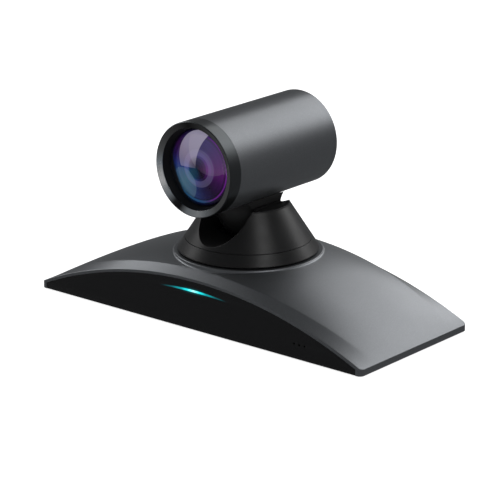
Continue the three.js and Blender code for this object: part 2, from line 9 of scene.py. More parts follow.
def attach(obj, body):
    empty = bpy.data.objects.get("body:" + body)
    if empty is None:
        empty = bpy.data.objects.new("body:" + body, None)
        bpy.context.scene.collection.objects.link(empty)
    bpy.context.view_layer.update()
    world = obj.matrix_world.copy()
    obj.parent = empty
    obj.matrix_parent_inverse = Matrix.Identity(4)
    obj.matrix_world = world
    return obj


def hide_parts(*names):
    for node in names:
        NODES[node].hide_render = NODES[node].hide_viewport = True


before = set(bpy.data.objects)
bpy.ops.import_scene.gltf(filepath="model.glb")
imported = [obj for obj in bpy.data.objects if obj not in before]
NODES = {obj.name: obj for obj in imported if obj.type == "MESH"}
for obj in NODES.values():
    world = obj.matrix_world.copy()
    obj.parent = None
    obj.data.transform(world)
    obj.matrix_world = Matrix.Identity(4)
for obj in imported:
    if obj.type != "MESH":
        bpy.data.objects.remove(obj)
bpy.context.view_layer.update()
MM = 0.001
AY = -1.12

# ====================================================================== materials
def new_mat(name):
    m = bpy.data.materials.new(name)
    m.use_nodes = True
    nt = m.node_tree
    nt.nodes.clear()
    out = nt.nodes.new("ShaderNodeOutputMaterial")
    p = nt.nodes.new("ShaderNodeBsdfPrincipled")
    nt.links.new(p.outputs[0], out.inputs["Surface"])
    return m, nt, p, out


def coords(nt, scale=None):
    tc = nt.nodes.new("ShaderNodeTexCoord")
    if scale is None:
        return tc.outputs["Object"]
    mp = nt.nodes.new("ShaderNodeMapping")
    mp.inputs["Scale"].default_value = scale
    nt.links.new(tc.outputs["Object"], mp.inputs["Vector"])
    return mp.outputs["Vector"]


def noise(nt, vec, scale, detail=2.0, rough=0.5):
    n = nt.nodes.new("ShaderNodeTexNoise")
    n.inputs["Scale"].default_value = scale
    n.inputs["Detail"].default_value = detail
    n.inputs["Roughness"].default_value = rough
    nt.links.new(vec, n.inputs["Vector"])
    return n.outputs["Fac"]


def ramp(nt, fac, stops, interp="LINEAR"):
    r = nt.nodes.new("ShaderNodeValToRGB")
    r.color_ramp.interpolation = interp
    e = r.color_ramp.elements
    while len(e) > 1:
        e.remove(e[-1])
    e[0].position, e[0].color = stops[0][0], stops[0][1]
    for pos, col in stops[1:]:
        x = e.new(pos)
        x.color = col
    nt.links.new(fac, r.inputs["Fac"])
    return r.outputs["Color"]


def grey(v):
    return (v, v, v, 1.0)


def maprange(nt, fac, a, b, c, d):
    m = nt.nodes.new("ShaderNodeMapRange")
    for i, v in zip((1, 2, 3, 4), (a, b, c, d)):
        m.inputs[i].default_value = v
    nt.links.new(fac, m.inputs[0])
    return m.outputs[0]


def bump(nt, fac, strength, dist, prev=None):
    b = nt.nodes.new("ShaderNodeBump")
    b.inputs["Strength"].default_value = strength
    b.inputs["Distance"].default_value = dist
    nt.links.new(fac, b.inputs["Height"])
    if prev is not None:
        nt.links.new(prev, b.inputs["Normal"])
    return b.outputs["Normal"]


def mix_col(nt, fac, a, b):
    m = nt.nodes.new("ShaderNodeMix")
    m.data_type = "RGBA"
    nt.links.new(fac, m.inputs["Factor"])
    for s, v in ((m.inputs[6], a), (m.inputs[7], b)):
        if isinstance(v, tuple):
            s.default_value = v
        else:
            nt.links.new(v, s)
    return m.outputs[2]


def simple(name, base, metallic, rough, var=0.08, bump_scale=2500.0, bump_strength=0.05, rough_var=0.05, coat=0.0, coat_rough=0.1, big=60.0, spec=0.5):
    """plastic, paint or metal with fine grain in colour, roughness and surface"""
    m, nt, p, out = new_mat(name)
    v = coords(nt)
    fine = noise(nt, v, bump_scale, 3.0, 0.6)
    broad = noise(nt, v, big, 3.0, 0.5)
    lo = tuple(c * (1 - var) for c in base) + (1.0,)
    hi = tuple(min(1.0, c * (1 + var)) for c in base) + (1.0,)
    nt.links.new(mix_col(nt, fine, lo, hi), p.inputs["Base Color"])
    nt.links.new(maprange(nt, broad, 0.3, 0.7, max(0.02, rough - rough_var), rough + rough_var), p.inputs["Roughness"])
    nt.links.new(bump(nt, fine, bump_strength, 0.0001), p.inputs["Normal"])
    p.inputs["Metallic"].default_value = metallic
    p.inputs["Coat Weight"].default_value = coat
    p.inputs["Coat Roughness"].default_value = coat_rough
    p.inputs["Specular IOR Level"].default_value = spec
    return m


class E:
    """small arithmetic on shader sockets"""
    def __init__(self, nt, s):
        self.nt, self.s = nt, s

    def op(self, kind, *args, clamp=False):
        n = self.nt.nodes.new("ShaderNodeMath")
        n.operation = kind
        n.use_clamp = clamp
        for i, a in enumerate((self,) + args):
            if isinstance(a, E):
                self.nt.links.new(a.s, n.inputs[i])
            else:
                n.inputs[i].default_value = a
        return E(self.nt, n.outputs[0])

    def __add__(self, o): return self.op("ADD", o)
    def __sub__(self, o): return self.op("SUBTRACT", o)
    def __mul__(self, o): return self.op("MULTIPLY", o)
    def sqrt(self): return self.op("SQRT")
    def step(self, a, b, lo=0.0, hi=1.0):
        m = self.nt.nodes.new("ShaderNodeMapRange")
        m.interpolation_type = "SMOOTHSTEP"
        for i, v in zip((1, 2, 3, 4), (a, b, lo, hi)):
            m.inputs[i].default_value = v
        self.nt.links.new(self.s, m.inputs[0])
        return E(self.nt, m.outputs[0])


def paint_mat():
    """dark grey metallic paint: aluminium flake with a satin finish"""
    m, nt, p, out = new_mat("metallic_grey_paint")
    v = coords(nt)
    vor = nt.nodes.new("ShaderNodeTexVoronoi")
    vor.inputs["Scale"].default_value = 3800.0
    nt.links.new(v, vor.inputs["Vector"])
    flake = nt.nodes.new("ShaderNodeSeparateColor")
    nt.links.new(vor.outputs["Color"], flake.inputs["Color"])
    fine = noise(nt, v, 1600.0, 3.0, 0.6)
    broad = noise(nt, v, 14.0, 3.0, 0.55)
    base = ramp(nt, flake.outputs[0], [(0.0, (0.172, 0.180, 0.190, 1)), (0.8, (0.192, 0.200, 0.211, 1)), (1.0, (0.245, 0.254, 0.265, 1))])
    nt.links.new(base, p.inputs["Base Color"])
    nt.links.new(maprange(nt, broad, 0.3, 0.7, 0.385, 0.425), p.inputs["Roughness"])
    n1 = bump(nt, fine, 0.05, 0.00008)
    nt.links.new(bump(nt, flake.outputs[1], 0.03, 0.00005, n1), p.inputs["Normal"])
    p.inputs["Metallic"].default_value = 0.92
    return m


def turned_metal(name, base, rough, scale_y=9000.0):
    """dark anodised metal, finely turned about the lens axis"""
    m, nt, p, out = new_mat(name)
    tc = nt.nodes.new("ShaderNodeTexCoord")
    sep = nt.nodes.new("ShaderNodeSeparateXYZ")
    nt.links.new(tc.outputs["Object"], sep.inputs[0])
    dz = nt.nodes.new("ShaderNodeMath"); dz.operation = "SUBTRACT"
    nt.links.new(sep.outputs["Z"], dz.inputs[0]); dz.inputs[1].default_value = 0.15884
    comb = nt.nodes.new("ShaderNodeCombineXYZ")
    nt.links.new(sep.outputs["X"], comb.inputs[0]); nt.links.new(dz.outputs[0], comb.inputs[1])
    ln = nt.nodes.new("ShaderNodeVectorMath"); ln.operation = "LENGTH"
    nt.links.new(comb.outputs[0], ln.inputs[0])
    add = nt.nodes.new("ShaderNodeMath"); add.operation = "ADD"
    nt.links.new(ln.outputs["Value"], add.inputs[0]); nt.links.new(sep.outputs["Y"], add.inputs[1])
    c2 = nt.nodes.new("ShaderNodeCombineXYZ")
    nt.links.new(add.outputs[0], c2.inputs[0])
    rings = noise(nt, c2.outputs[0], scale_y, 2.0, 0.6)
    lo = tuple(c * 0.9 for c in base) + (1.0,)
    hi = tuple(min(1, c * 1.1) for c in base) + (1.0,)
    nt.links.new(mix_col(nt, rings, lo, hi), p.inputs["Base Color"])
    nt.links.new(maprange(nt, rings, 0.3, 0.7, rough - 0.03, rough + 0.05), p.inputs["Roughness"])
    nt.links.new(bump(nt, rings, 0.04, 0.00003), p.inputs["Normal"])
    p.inputs["Metallic"].default_value = 1.0
    return m


M = {}
M["paint"] = paint_mat()
M["satin"] = simple("satin_black_moulding", (0.0095, 0.0095, 0.0098), 0.0, 0.36, 0.15, 2200.0, 0.06, 0.03, spec=0.30)
M["bezel"] = turned_metal("dark_turned_metal", (0.082, 0.088, 0.092), 0.34)
M["inner_black"] = simple("matte_black_shroud", (0.0035, 0.0035, 0.0038), 0.0, 0.6, 0.15, 1800.0, 0.1, 0.05, spec=0.25)
M["rubber"] = simple("black_rubber", (0.016, 0.016, 0.016), 0.0, 0.82, 0.2, 1200.0, 0.25, 0.05)
M["steel"] = simple("bright_steel", (0.56, 0.57, 0.58), 1.0, 0.3, 0.05, 1500.0, 0.05, 0.06)
M["zinc"] = simple("zinc_plated_sheet", (0.43, 0.44, 0.45), 1.0, 0.42, 0.10, 300.0, 0.05, 0.08, big=120.0)
M["alloy"] = simple("bead_blasted_alloy", (0.55, 0.56, 0.57), 1.0, 0.45, 0.06, 2600.0, 0.12, 0.05)
M["nylon"] = simple("natural_nylon", (0.62, 0.59, 0.52), 0.0, 0.45, 0.05, 900.0, 0.05, 0.05)
M["brass"] = simple("turned_brass", (0.62, 0.43, 0.17), 1.0, 0.3, 0.06, 1500.0, 0.05, 0.05)
M["plastic"] = simple("moulded_black_plastic", (0.02, 0.02, 0.021), 0.0, 0.5, 0.15, 1500.0, 0.12, 0.06)
M["gold"] = simple("gold_contacts", (0.75, 0.55, 0.22), 1.0, 0.25, 0.05, 1500.0, 0.03, 0.04)


def bevel_metal(name):
    """turned bevel: painted highlight lobes and painted dark sectors round the axis, set in the base colour over the
    fine turning rings; they do not move with the lights
    """
    turned_metal(name, (0.30, 0.33, 0.35), 0.20)
    m = bpy.data.materials[name]
    nt = m.node_tree
    p = next(n for n in nt.nodes if n.type == "BSDF_PRINCIPLED")
    x, z = lens_coords(nt)
    turn = z.op("ARCTAN2", x) * (1.0 / (2 * math.pi)) + 0.5
    # painted highlights and painted shade: base colour brightness set by the angle round the lens axis
    painted_highlight_lobes = ramp(nt, turn.s, [
        (0.00, (0.70, 0.77, 0.82, 1)), (0.035, (1, 1, 1, 1)), (0.075, (1, 1, 1, 1)), (0.12, (0.75, 0.82, 0.86, 1)), (0.155, grey(0.06)), (0.185, grey(0.03)),
        (0.22, (0.70, 0.75, 0.78, 1)), (0.27, (0.95, 0.98, 1, 1)), (0.31, (0.45, 0.48, 0.50, 1)), (0.36, grey(0.26)), (0.50, grey(0.27)), (0.60, grey(0.28)),
        (0.67, grey(0.20)), (0.72, grey(0.10)), (0.775, grey(0.03)), (0.82, grey(0.12)), (0.90, grey(0.22)), (0.95, grey(0.36)), (1.0, (0.70, 0.77, 0.82, 1))])
    nt.links.new(painted_highlight_lobes, p.inputs["Base Color"])
    return m


def pcb_mat():
    m, nt, p, out = new_mat("green_circuit_board")
    v = coords(nt)
    br = nt.nodes.new("ShaderNodeTexBrick")
    br.inputs["Scale"].default_value = 220.0
    br.inputs["Mortar Size"].default_value = 0.035
    br.inputs["Color1"].default_value = (0.012, 0.085, 0.04, 1)
    br.inputs["Color2"].default_value = (0.010, 0.075, 0.036, 1)
    br.inputs["Mortar"].default_value = (0.03, 0.16, 0.075, 1)
    nt.links.new(v, br.inputs["Vector"])
    nt.links.new(br.outputs["Color"], p.inputs["Base Color"])
    nt.links.new(bump(nt, br.outputs["Fac"], 0.2, 0.00005), p.inputs["Normal"])
    nt.links.new(maprange(nt, noise(nt, v, 200.0), 0.3, 0.7, 0.35, 0.5), p.inputs["Roughness"])
    return m


M["pcb"] = pcb_mat()


def light_mat():
    """cyan light guide: brightest in the middle, fading to both ends"""
    m, nt, p, out = new_mat("cyan_light_bar")
    tc = nt.nodes.new("ShaderNodeTexCoord")
    sep = nt.nodes.new("ShaderNodeSeparateXYZ")
    nt.links.new(tc.outputs["Object"], sep.inputs[0])
    ab = nt.nodes.new("ShaderNodeMath"); ab.operation = "ABSOLUTE"
    nt.links.new(sep.outputs["X"], ab.inputs[0])
    t = maprange(nt, ab.outputs[0], 0.0, 0.041, 0.0, 1.0)
    col = ramp(nt, t, [(0.0, (0.42, 1.0, 0.98, 1)), (0.09, (0.16, 1.0, 0.98, 1)), (0.20, (0.01, 0.72, 0.76, 1)), (0.42, (0.0, 0.26, 0.29, 1)), (0.72, (0.0, 0.06, 0.07, 1)), (1.0, (0.0, 0.002, 0.003, 1))], "EASE")
    nt.links.new(col, p.inputs["Emission Color"])
    p.inputs["Emission Strength"].default_value = 1.25
    p.inputs["Base Color"].default_value = (0.004, 0.012, 0.013, 1)
    nt.links.new(maprange(nt, noise(nt, coords(nt), 900.0), 0.3, 0.7, 0.15, 0.25), p.inputs["Roughness"])
    return m


M["light"] = light_mat()


def gloss_mat():
    """smoked acrylic panel: light bleeds through it beside the light bar"""
    m = simple("gloss_black_panel", (0.0035, 0.0035, 0.0038), 0.0, 0.10, 0.10, 900.0, 0.01, 0.02, coat=0.3, coat_rough=0.04, spec=0.3)
    nt = m.node_tree
    p = [n for n in nt.nodes if n.type == "BSDF_PRINCIPLED"][0]
    tc = nt.nodes.new("ShaderNodeTexCoord")
    sep = nt.nodes.new("ShaderNodeSeparateXYZ")
    nt.links.new(tc.outputs["Object"], sep.inputs[0])
    x = E(nt, sep.outputs["X"]) * 1000.0
    z = E(nt, sep.outputs["Z"]) * 1000.0
    arc = (x * x * -1.0 + 450.0 ** 2).sqrt() - 410.2
    dz = (z - arc).op("ABSOLUTE")
    near = dz.step(4.2, 0.2) * x.op("ABSOLUTE").step(24.0, 0.0)
    near = near * near
    p.inputs["Emission Color"].default_value = (0.0, 0.75, 0.80, 1)
    nt.links.new((near * 0.20).s, p.inputs["Emission Strength"])
    return m


def clear_glass(name, tint):
    """thin anti-reflection coated glass: a faint mirror over a clear body"""
    m, nt, p, out = new_mat(name)
    v = coords(nt)
    nt.links.new(mix_col(nt, noise(nt, v, 30.0), tint + (1.0,), tuple(c * 0.96 for c in tint) + (1.0,)), p.inputs["Base Color"])
    p.inputs["Metallic"].default_value = 1.0
    nt.links.new(maprange(nt, noise(nt, v, 400.0), 0.3, 0.7, 0.02, 0.04), p.inputs["Roughness"])
    tr = nt.nodes.new("ShaderNodeBsdfTransparent")
    fr = nt.nodes.new("ShaderNodeFresnel")
    fr.inputs["IOR"].default_value = 1.2
    mx = nt.nodes.new("ShaderNodeMixShader")
    nt.links.new(fr.outputs[0], mx.inputs[0])
    nt.links.new(tr.outputs[0], mx.inputs[1])
    nt.links.new(p.outputs[0], mx.inputs[2])
    nt.links.new(mx.outputs[0], out.inputs["Surface"])
    return m


def srgb(r, g, b):
    f = lambda c: (c / 255.0) / 12.92 if c <= 10 else (((c / 255.0) + 0.055) / 1.055) ** 2.4
    return (f(r), f(g), f(b), 1.0)


def lens_coords(nt):
    """millimetres across the lens face, measured from its axis"""
    tc = nt.nodes.new("ShaderNodeTexCoord")
    sep = nt.nodes.new("ShaderNodeSeparateXYZ")
    nt.links.new(tc.outputs["Object"], sep.inputs[0])
    x = E(nt, sep.outputs["X"]) * 1000.0
    z = (E(nt, sep.outputs["Z"]) - 0.15884) * 1000.0
    return x, z


def dist(x, z, cx, cz):
    dx, dz = x - cx, z - cz
    return (dx * dx + dz * dz).sqrt()


def overlay(nt, base, colour, mask, mode="MIX"):
    m = nt.nodes.new("ShaderNodeMix")
    m.data_type = "RGBA"
    m.blend_type = mode
    nt.links.new(mask.s, m.inputs["Factor"])
    nt.links.new(base, m.inputs[6])
    if isinstance(colour, tuple):
        m.inputs[7].default_value = colour
    else:
        nt.links.new(colour, m.inputs[7])
    return m.outputs[2]


def front_lens_mat():
    """multi-coated front element with painted reflections: the coating's interference colours painted round the axis,
    painted ghosts of the inner elements, painted window reflections; the pattern also glows by emission
    """
    m, nt, p, out = new_mat("front_element_painted_reflections")
    x, z = lens_coords(nt)
    r = dist(x, z, 0.0, 0.0)
    ang = z.op("ARCTAN2", x)
    turn = (ang * (1.0 / (2 * math.pi)) + 0.5)
    # painted reflection colours of the coating, set by the angle round the axis
    hue = ramp(nt, turn.s, [
        (0.00, srgb(44, 62, 150)), (0.05, srgb(38, 88, 142)), (0.11, srgb(40, 100, 132)), (0.17, srgb(34, 86, 128)), (0.235, srgb(34, 52, 112)),
        (0.30, srgb(32, 26, 78)), (0.36, srgb(36, 14, 56)), (0.43, srgb(64, 18, 86)), (0.50, srgb(104, 34, 124)), (0.58, srgb(88, 42, 124)),
        (0.67, srgb(66, 52, 124)), (0.76, srgb(52, 46, 116)), (0.84, srgb(60, 38, 108)), (0.90, srgb(74, 28, 100)), (0.955, srgb(54, 30, 112)), (1.0, srgb(44, 62, 150))])
    # painted depth by radius: painted shade at the dark centre and dark edge, painted reflections of the inner
    # elements' rings between
    shade = ramp(nt, (r * (1.0 / 37.0)).s, [
        (0.0, grey(0.10)), (0.10, grey(0.20)), (0.12, grey(0.32)), (0.19, grey(0.26)), (0.20, grey(0.40)), (0.275, grey(0.42)),
        (0.29, grey(0.95)), (0.435, grey(1.0)), (0.45, grey(0.62)), (0.55, grey(0.74)), (0.565, grey(0.60)), (0.70, grey(0.74)),
        (0.715, grey(0.62)), (0.79, grey(0.74)), (0.82, grey(0.40)), (0.85, grey(0.34)), (0.87, grey(0.52)), (0.90, grey(0.48)),
        (0.925, grey(0.30)), (0.965, grey(0.14)), (1.0, grey(0.02))])
    col = overlay(nt, hue, shade, r.step(-1.0, 0.0), "MULTIPLY")
    grooves = (r * 4.1).op("SINE") * 0.5 + 0.5
    col = overlay(nt, col, grey(0.35), grooves * r.step(31.0, 24.0) * 0.16, "MULTIPLY")
    # painted reflection: lilac ring of the second element
    rr = dist(x, z, 0.9, 0.0)
    ring = rr.step(11.9, 12.5) * rr.step(18.7, 18.0)
    col = overlay(nt, col, srgb(136, 128, 176), ring * 0.24)
    # painted reflections: magenta and blue arcs near the rim
    arc = r.step(31.6, 32.1) * r.step(33.4, 32.8) * x.step(0.0, 22.0)
    col = overlay(nt, col, srgb(132, 44, 168), arc * 0.55)
    arc2 = r.step(31.2, 31.7) * r.step(34.2, 33.6) * z.step(-6.0, -20.0) * x.step(20.0, -4.0)
    col = overlay(nt, col, srgb(60, 120, 170), arc2 * 0.40)
    # painted reflection: blue cast near the lower left centre
    col = overlay(nt, col, srgb(10, 60, 84), dist(x, z, -5.0, -5.0).step(9.5, 3.0) * 0.55)
    # three painted soft-edged reflections of the studio windows in the inner surfaces; they are fixed on the glass and
    # turn with the head
    a = dist(x, z, 1.8, 10.2).step(26.4, 25.8) * dist(x, z, 44.9, 0.8).step(46.9, 47.4) * (z - x * 0.045).step(-0.35, 0.1)
    b = dist(x, z, 15.2, 22.8).step(27.6, 27.0) * r.step(33.0, 31.5)
    c = dist(x, z, -18.5, -18.5).step(16.4, 15.8) * r.step(31.6, 31.0)
    inside = r.step(3.0, 13.0, 0.40, 1.0)
    up = z.step(-6.0, 32.0, 0.24, 0.52) * inside
    col = overlay(nt, col, srgb(206, 198, 222), a * up)
    col = overlay(nt, col, srgb(196, 192, 206), a * b * inside * 0.20)
    col = overlay(nt, col, srgb(160, 150, 166), b * inside * 0.11)
    col = overlay(nt, col, srgb(150, 190, 205), c * 0.13)
    dust = noise(nt, coords(nt), 900.0, 2.0)
    col = overlay(nt, col, srgb(190, 190, 215), E(nt, dust).step(0.80, 0.86) * 0.25)
    dark = nt.nodes.new("ShaderNodeMix"); dark.data_type = "RGBA"; dark.blend_type = "MULTIPLY"
    dark.inputs["Factor"].default_value = 1.0
    nt.links.new(col, dark.inputs[6]); dark.inputs[7].default_value = (0.35, 0.35, 0.35, 1)
    nt.links.new(dark.outputs[2], p.inputs["Base Color"])
    # painted light: the whole pattern also glows by emission, so it stays bright under any lighting; the base colour is
    # darkened to suit
    nt.links.new(col, p.inputs["Emission Color"])
    p.inputs["Emission Strength"].default_value = 0.60
    p.inputs["Metallic"].default_value = 0.0
    nt.links.new(maprange(nt, dust, 0.3, 0.7, 0.10, 0.16), p.inputs["Roughness"])
    p.inputs["Specular IOR Level"].default_value = 0.12
    return m


def inner_lens_mat(name, radius, a, b):
    m, nt, p, out = new_mat(name)
    x, z = lens_coords(nt)
    r = dist(x, z, 0.0, 0.0)
    col = ramp(nt, (r * (1.0 / radius)).s, [(0.0, srgb(8, 12, 24)), (0.45, a), (0.8, b), (0.95, srgb(30, 24, 70)), (1.0, srgb(4, 4, 8))])
    nt.links.new(col, p.inputs["Base Color"])
    nt.links.new(maprange(nt, noise(nt, coords(nt), 700.0), 0.3, 0.7, 0.05, 0.09), p.inputs["Roughness"])
    p.inputs["Coat Weight"].default_value = 1.0
    p.inputs["Coat Roughness"].default_value = 0.03
    return m


M["gloss"] = gloss_mat()
M["bevel"] = bevel_metal("turned_bevel_painted_highlights")
M["front_lens"] = front_lens_mat()
M["coat1"] = inner_lens_mat("violet_inner_element", 19.2, srgb(30, 70, 110), srgb(90, 50, 130))
M["small_glass"] = inner_lens_mat("small_coated_lens", 10.2, srgb(20, 80, 100), srgb(60, 60, 130))


# ====================================================================== mesh helpers
def finish_mesh(ob, angle=32.0, flip_check=True):
    me = ob.data
    if flip_check:
        bm = bmesh.new(); bm.from_mesh(me)
        bmesh.ops.recalc_face_normals(bm, faces=bm.faces)
        bm.to_mesh(me); bm.free()
    me.shade_smooth()
    me.set_sharp_from_angle(angle=math.radians(angle))


def add_obj(name, verts, faces, mat, body, replaces=(), angle=32.0, recalc=True, merge=0.0):
    me = bpy.data.meshes.new(name)
    me.from_pydata([tuple(c * MM for c in v) for v in verts], [], faces)
    me.validate()
    if merge:
        bm = bmesh.new(); bm.from_mesh(me)
        bmesh.ops.remove_doubles(bm, verts=bm.verts, dist=merge * MM)
        bmesh.ops.dissolve_degenerate(bm, edges=bm.edges, dist=1e-7)
        bm.to_mesh(me); bm.free()
    ob = bpy.data.objects.new(name, me)
    bpy.context.scene.collection.objects.link(ob)
    for m in (mat if isinstance(mat, (list, tuple)) else [mat]):
        me.materials.append(m)
    finish_mesh(ob, angle, recalc)
    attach(ob, body)
    if replaces:
        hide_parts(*replaces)
    return ob


def fillet(points, radii, n=4, closed=True, support=0.5):
    """polyline with its corners rounded; radii per corner, 0 keeps it sharp"""
    P = [np.array(p, float) for p in points]
    N = len(P)
    out = []
    for i in range(N):
        r = radii[i] if isinstance(radii, (list, tuple)) else radii
        if (not closed and i in (0, N - 1)) or r <= 0:
            out.append(P[i]); continue
        a, b, c = P[i - 1], P[i], P[(i + 1) % N]
        u, v = a - b, c - b
        lu, lv = np.linalg.norm(u), np.linalg.norm(v)
        u, v = u / lu, v / lv
        ang = math.acos(max(-1, min(1, float(u @ v))))
        if ang > math.radians(175):
            out.append(b); continue
        d = min(r / math.tan(ang / 2), 0.45 * lu, 0.45 * lv)
        rr = d * math.tan(ang / 2)
        cen = b + (u + v) / np.linalg.norm(u + v) * (rr / math.sin(ang / 2))
        p0, p1 = b + u * d, b + v * d
        if d * (1 + support) < 0.48 * lu:
            out.append(b + u * d * (1 + support))
        a0 = math.atan2(*(p0 - cen)[::-1]); a1 = math.atan2(*(p1 - cen)[::-1])
        da = (a1 - a0 + math.pi) % (2 * math.pi) - math.pi
        for k in range(n + 1):
            t = a0 + da * k / n
            out.append(cen + rr * np.array([math.cos(t), math.sin(t)]))
        if d * (1 + support) < 0.48 * lv:
            out.append(b + v * d * (1 + support))
    return [tuple(p) for p in out]


def lathe(name, profile, axis, centre, seg, mat, body, replaces=(), angle=32.0, mat_of=None, closed=True):
    """profile is (radius, height along axis); closes on itself"""
    pts = list(profile)
    verts, faces, idx = [], [], []
    for (r, h) in pts:
        if r < 1e-6:
            ring = [len(verts)]
            verts.append((0, 0, h) if axis == "z" else ((0, h, 0) if axis == "y" else (h, 0, 0)))
        else:
            ring = []
            for k in range(seg):
                t = 2 * math.pi * k / seg
                c, s = r * math.cos(t), r * math.sin(t)
                ring.append(len(verts))
                verts.append((c, s, h) if axis == "z" else ((c, h, s) if axis == "y" else (h, c, s)))
        idx.append(ring)
    n = len(pts)
    fm = []
    for i in range(n if closed else n - 1):
        A, B = idx[i], idx[(i + 1) % n]
        if len(A) == 1 and len(B) == 1:
            continue
        for k in range(seg):
            j = (k + 1) % seg
            if len(A) == 1:
                f = (A[0], B[k], B[j])
            elif len(B) == 1:
                f = (A[k], B[0], A[j])
            else:
                f = (A[k], B[k], B[j], A[j])
            faces.append(f); fm.append(i)
    verts = [(v[0] + centre[0], v[1] + centre[1], v[2] + centre[2]) for v in verts]
    ob = add_obj(name, verts, faces, mat, body, replaces, angle)
    if mat_of is not None:
        for poly, i in zip(ob.data.polygons, fm):
            poly.material_index = mat_of(pts[i], pts[(i + 1) % n])
    return ob


def plate(name, outer, holes, y0, y1, mat, body, replaces=(), bevel=0.25, axis="y", res=3):
    """flat plate with holes in the XZ plane, from y0 (outer face side) to y1, edges rounded"""
    cu = bpy.data.curves.new(name + "_cu", "CURVE")
    cu.dimensions = "2D"
    cu.fill_mode = "BOTH"
    for loop in [outer] + list(holes):
        sp = cu.splines.new("POLY")
        sp.points.add(len(loop) - 1)
        for i, (u, v) in enumerate(loop):
            sp.points[i].co = (u * MM, v * MM, 0, 1)
        sp.use_cyclic_u = True
    cu.bevel_depth = bevel * MM
    cu.bevel_resolution = res
    cu.offset = -bevel * MM
    cu.extrude = (abs(y1 - y0) / 2 - bevel) * MM
    tmp = bpy.data.objects.new(name + "_tmp", cu)
    bpy.context.scene.collection.objects.link(tmp)
    bpy.context.view_layer.update()
    dg = bpy.context.evaluated_depsgraph_get()
    me = bpy.data.meshes.new_from_object(tmp.evaluated_get(dg))
    bpy.data.objects.remove(tmp)
    if axis == "y":
        me.transform(Matrix.Translation((0, (y0 + y1) / 2 * MM, 0)) @ Matrix.Rotation(math.pi / 2, 4, "X"))
    else:
        me.transform(Matrix.Translation((0, 0, (y0 + y1) / 2 * MM)))
    bm = bmesh.new(); bm.from_mesh(me)
    bmesh.ops.remove_doubles(bm, verts=bm.verts, dist=1e-6)
    bm.to_mesh(me); bm.free()
    me.name = name
    ob = bpy.data.objects.new(name, me)
    bpy.context.scene.collection.objects.link(ob)
    me.materials.clear()
    me.materials.append(mat)
    finish_mesh(ob, 50.0)
    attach(ob, body)
    if replaces:
        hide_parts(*replaces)
    return ob


def circ(cx, cy, r, n=28, a0=0.0):
    return [(cx + r * math.cos(a0 + 2 * math.pi * k / n), cy + r * math.sin(a0 + 2 * math.pi * k / n)) for k in range(n)]


def rrect(cx, cy, hx, hy, r, n=5):
    out = []
    for sx, sy, a in ((1, 1, 0), (-1, 1, 90), (-1, -1, 180), (1, -1, 270)):
        for i in range(n + 1):
            t = math.radians(a + 90 * i / n)
            out.append((cx + sx * (hx - r) + r * math.cos(t), cy + sy * (hy - r) + r * math.sin(t)))
    return out


# ====================================================================== camera and light
az, el, D = math.radians(39.77), math.radians(17.8), 2454.36
back = Vector((math.sin(az) * math.cos(el), -math.cos(az) * math.cos(el), math.sin(el)))
right = Vector((math.cos(az), math.sin(az), 0))
cam_data = bpy.data.cameras.new("cam")
cam = bpy.data.objects.new("cam", cam_data)
bpy.context.scene.collection.objects.link(cam)
cam.location = (right * 0.69 + Vector((0, 0, 60.36)) + back * D) * MM
cam.rotation_euler = (-back).to_track_quat("-Z", "Y").to_euler()
cam_data.sensor_width = 36.0
cam_data.lens = 36.0 * 2539.79 / 500.0
cam_data.clip_end = 200
bpy.context.scene.camera = cam
bpy.context.scene.view_settings.view_transform = "Standard"


def softbox(name, direction, dist, w, h, power, colour=(1, 1, 1), target=(0, 0, 0.09), spread=None):
    ld = bpy.data.lights.new(name, "AREA")
    ld.shape = "RECTANGLE"
    ld.size, ld.size_y = w, h
    ld.energy = power
    ld.color = colour
    if spread:
        ld.spread = math.radians(spread)
    o = bpy.data.objects.new(name, ld)
    bpy.context.scene.collection.objects.link(o)
    d = Vector(direction).normalized()
    o.location = Vector(target) + d * dist
    o.rotation_euler = (-d).to_track_quat("-Z", "Y").to_euler()
    return o


softbox("back_softbox", (0.11, 0.86, 0.51), 5.0, 4.7, 2.9, 118)
softbox("left_softbox", (-0.86, -0.10, 0.47), 2.6, 1.7, 1.0, 16.0)
softbox("right_softbox", (0.70, -0.20, 0.68), 2.2, 0.85, 0.6, 6.5)
softbox("front_card", (-0.12, -0.98, -0.14), 1.5, 0.30, 0.50, 0.55, target=(0, -0.08, 0.159))

world = bpy.data.worlds.new("studio")
bpy.context.scene.world = world
world.use_nodes = True
world.node_tree.nodes["Background"].inputs[0].default_value = (0.95, 0.97, 1.0, 1)
world.node_tree.nodes["Background"].inputs[1].default_value = 0.15

fm_, fnt, fp, fout = new_mat("pale_floor")
fv = coords(fnt)
nzf = noise(fnt, fv, 8.0, 2.0)
fnt.links.new(mix_col(fnt, nzf, (0.86, 0.86, 0.86, 1), (0.875, 0.875, 0.875, 1)), fp.inputs["Base Color"])
fp.inputs["Roughness"].default_value = 0.9
fp.inputs["Emission Color"].default_value = (1, 1, 1, 1)
fp.inputs["Emission Strength"].default_value = 0.88
fme = bpy.data.meshes.new("floor")
fme.from_pydata([(-30, -30, 0), (30, -30, 0), (30, 30, 0), (-30, 30, 0)], [], [(0, 1, 2, 3)])
floor = bpy.data.objects.new("floor", fme)
bpy.context.scene.collection.objects.link(floor)
fme.materials.append(fm_)
floor.visible_glossy = False

# ====================================================================== base cover
def arcz(x, apex):
    s = apex - 7.5
    R = (40000 + s * s) / (2 * s)
    return apex - R + np.sqrt(np.maximum(R * R - x * x, 0))


def crown(y):
    return 68.78 - 0.0011649 * y * y - 4.607 * (y / 80.0) ** 4


def crease(x):
    t = (x / 200.0) ** 2
    return 74.86 - 9.855 * t - 5.988 * t * t


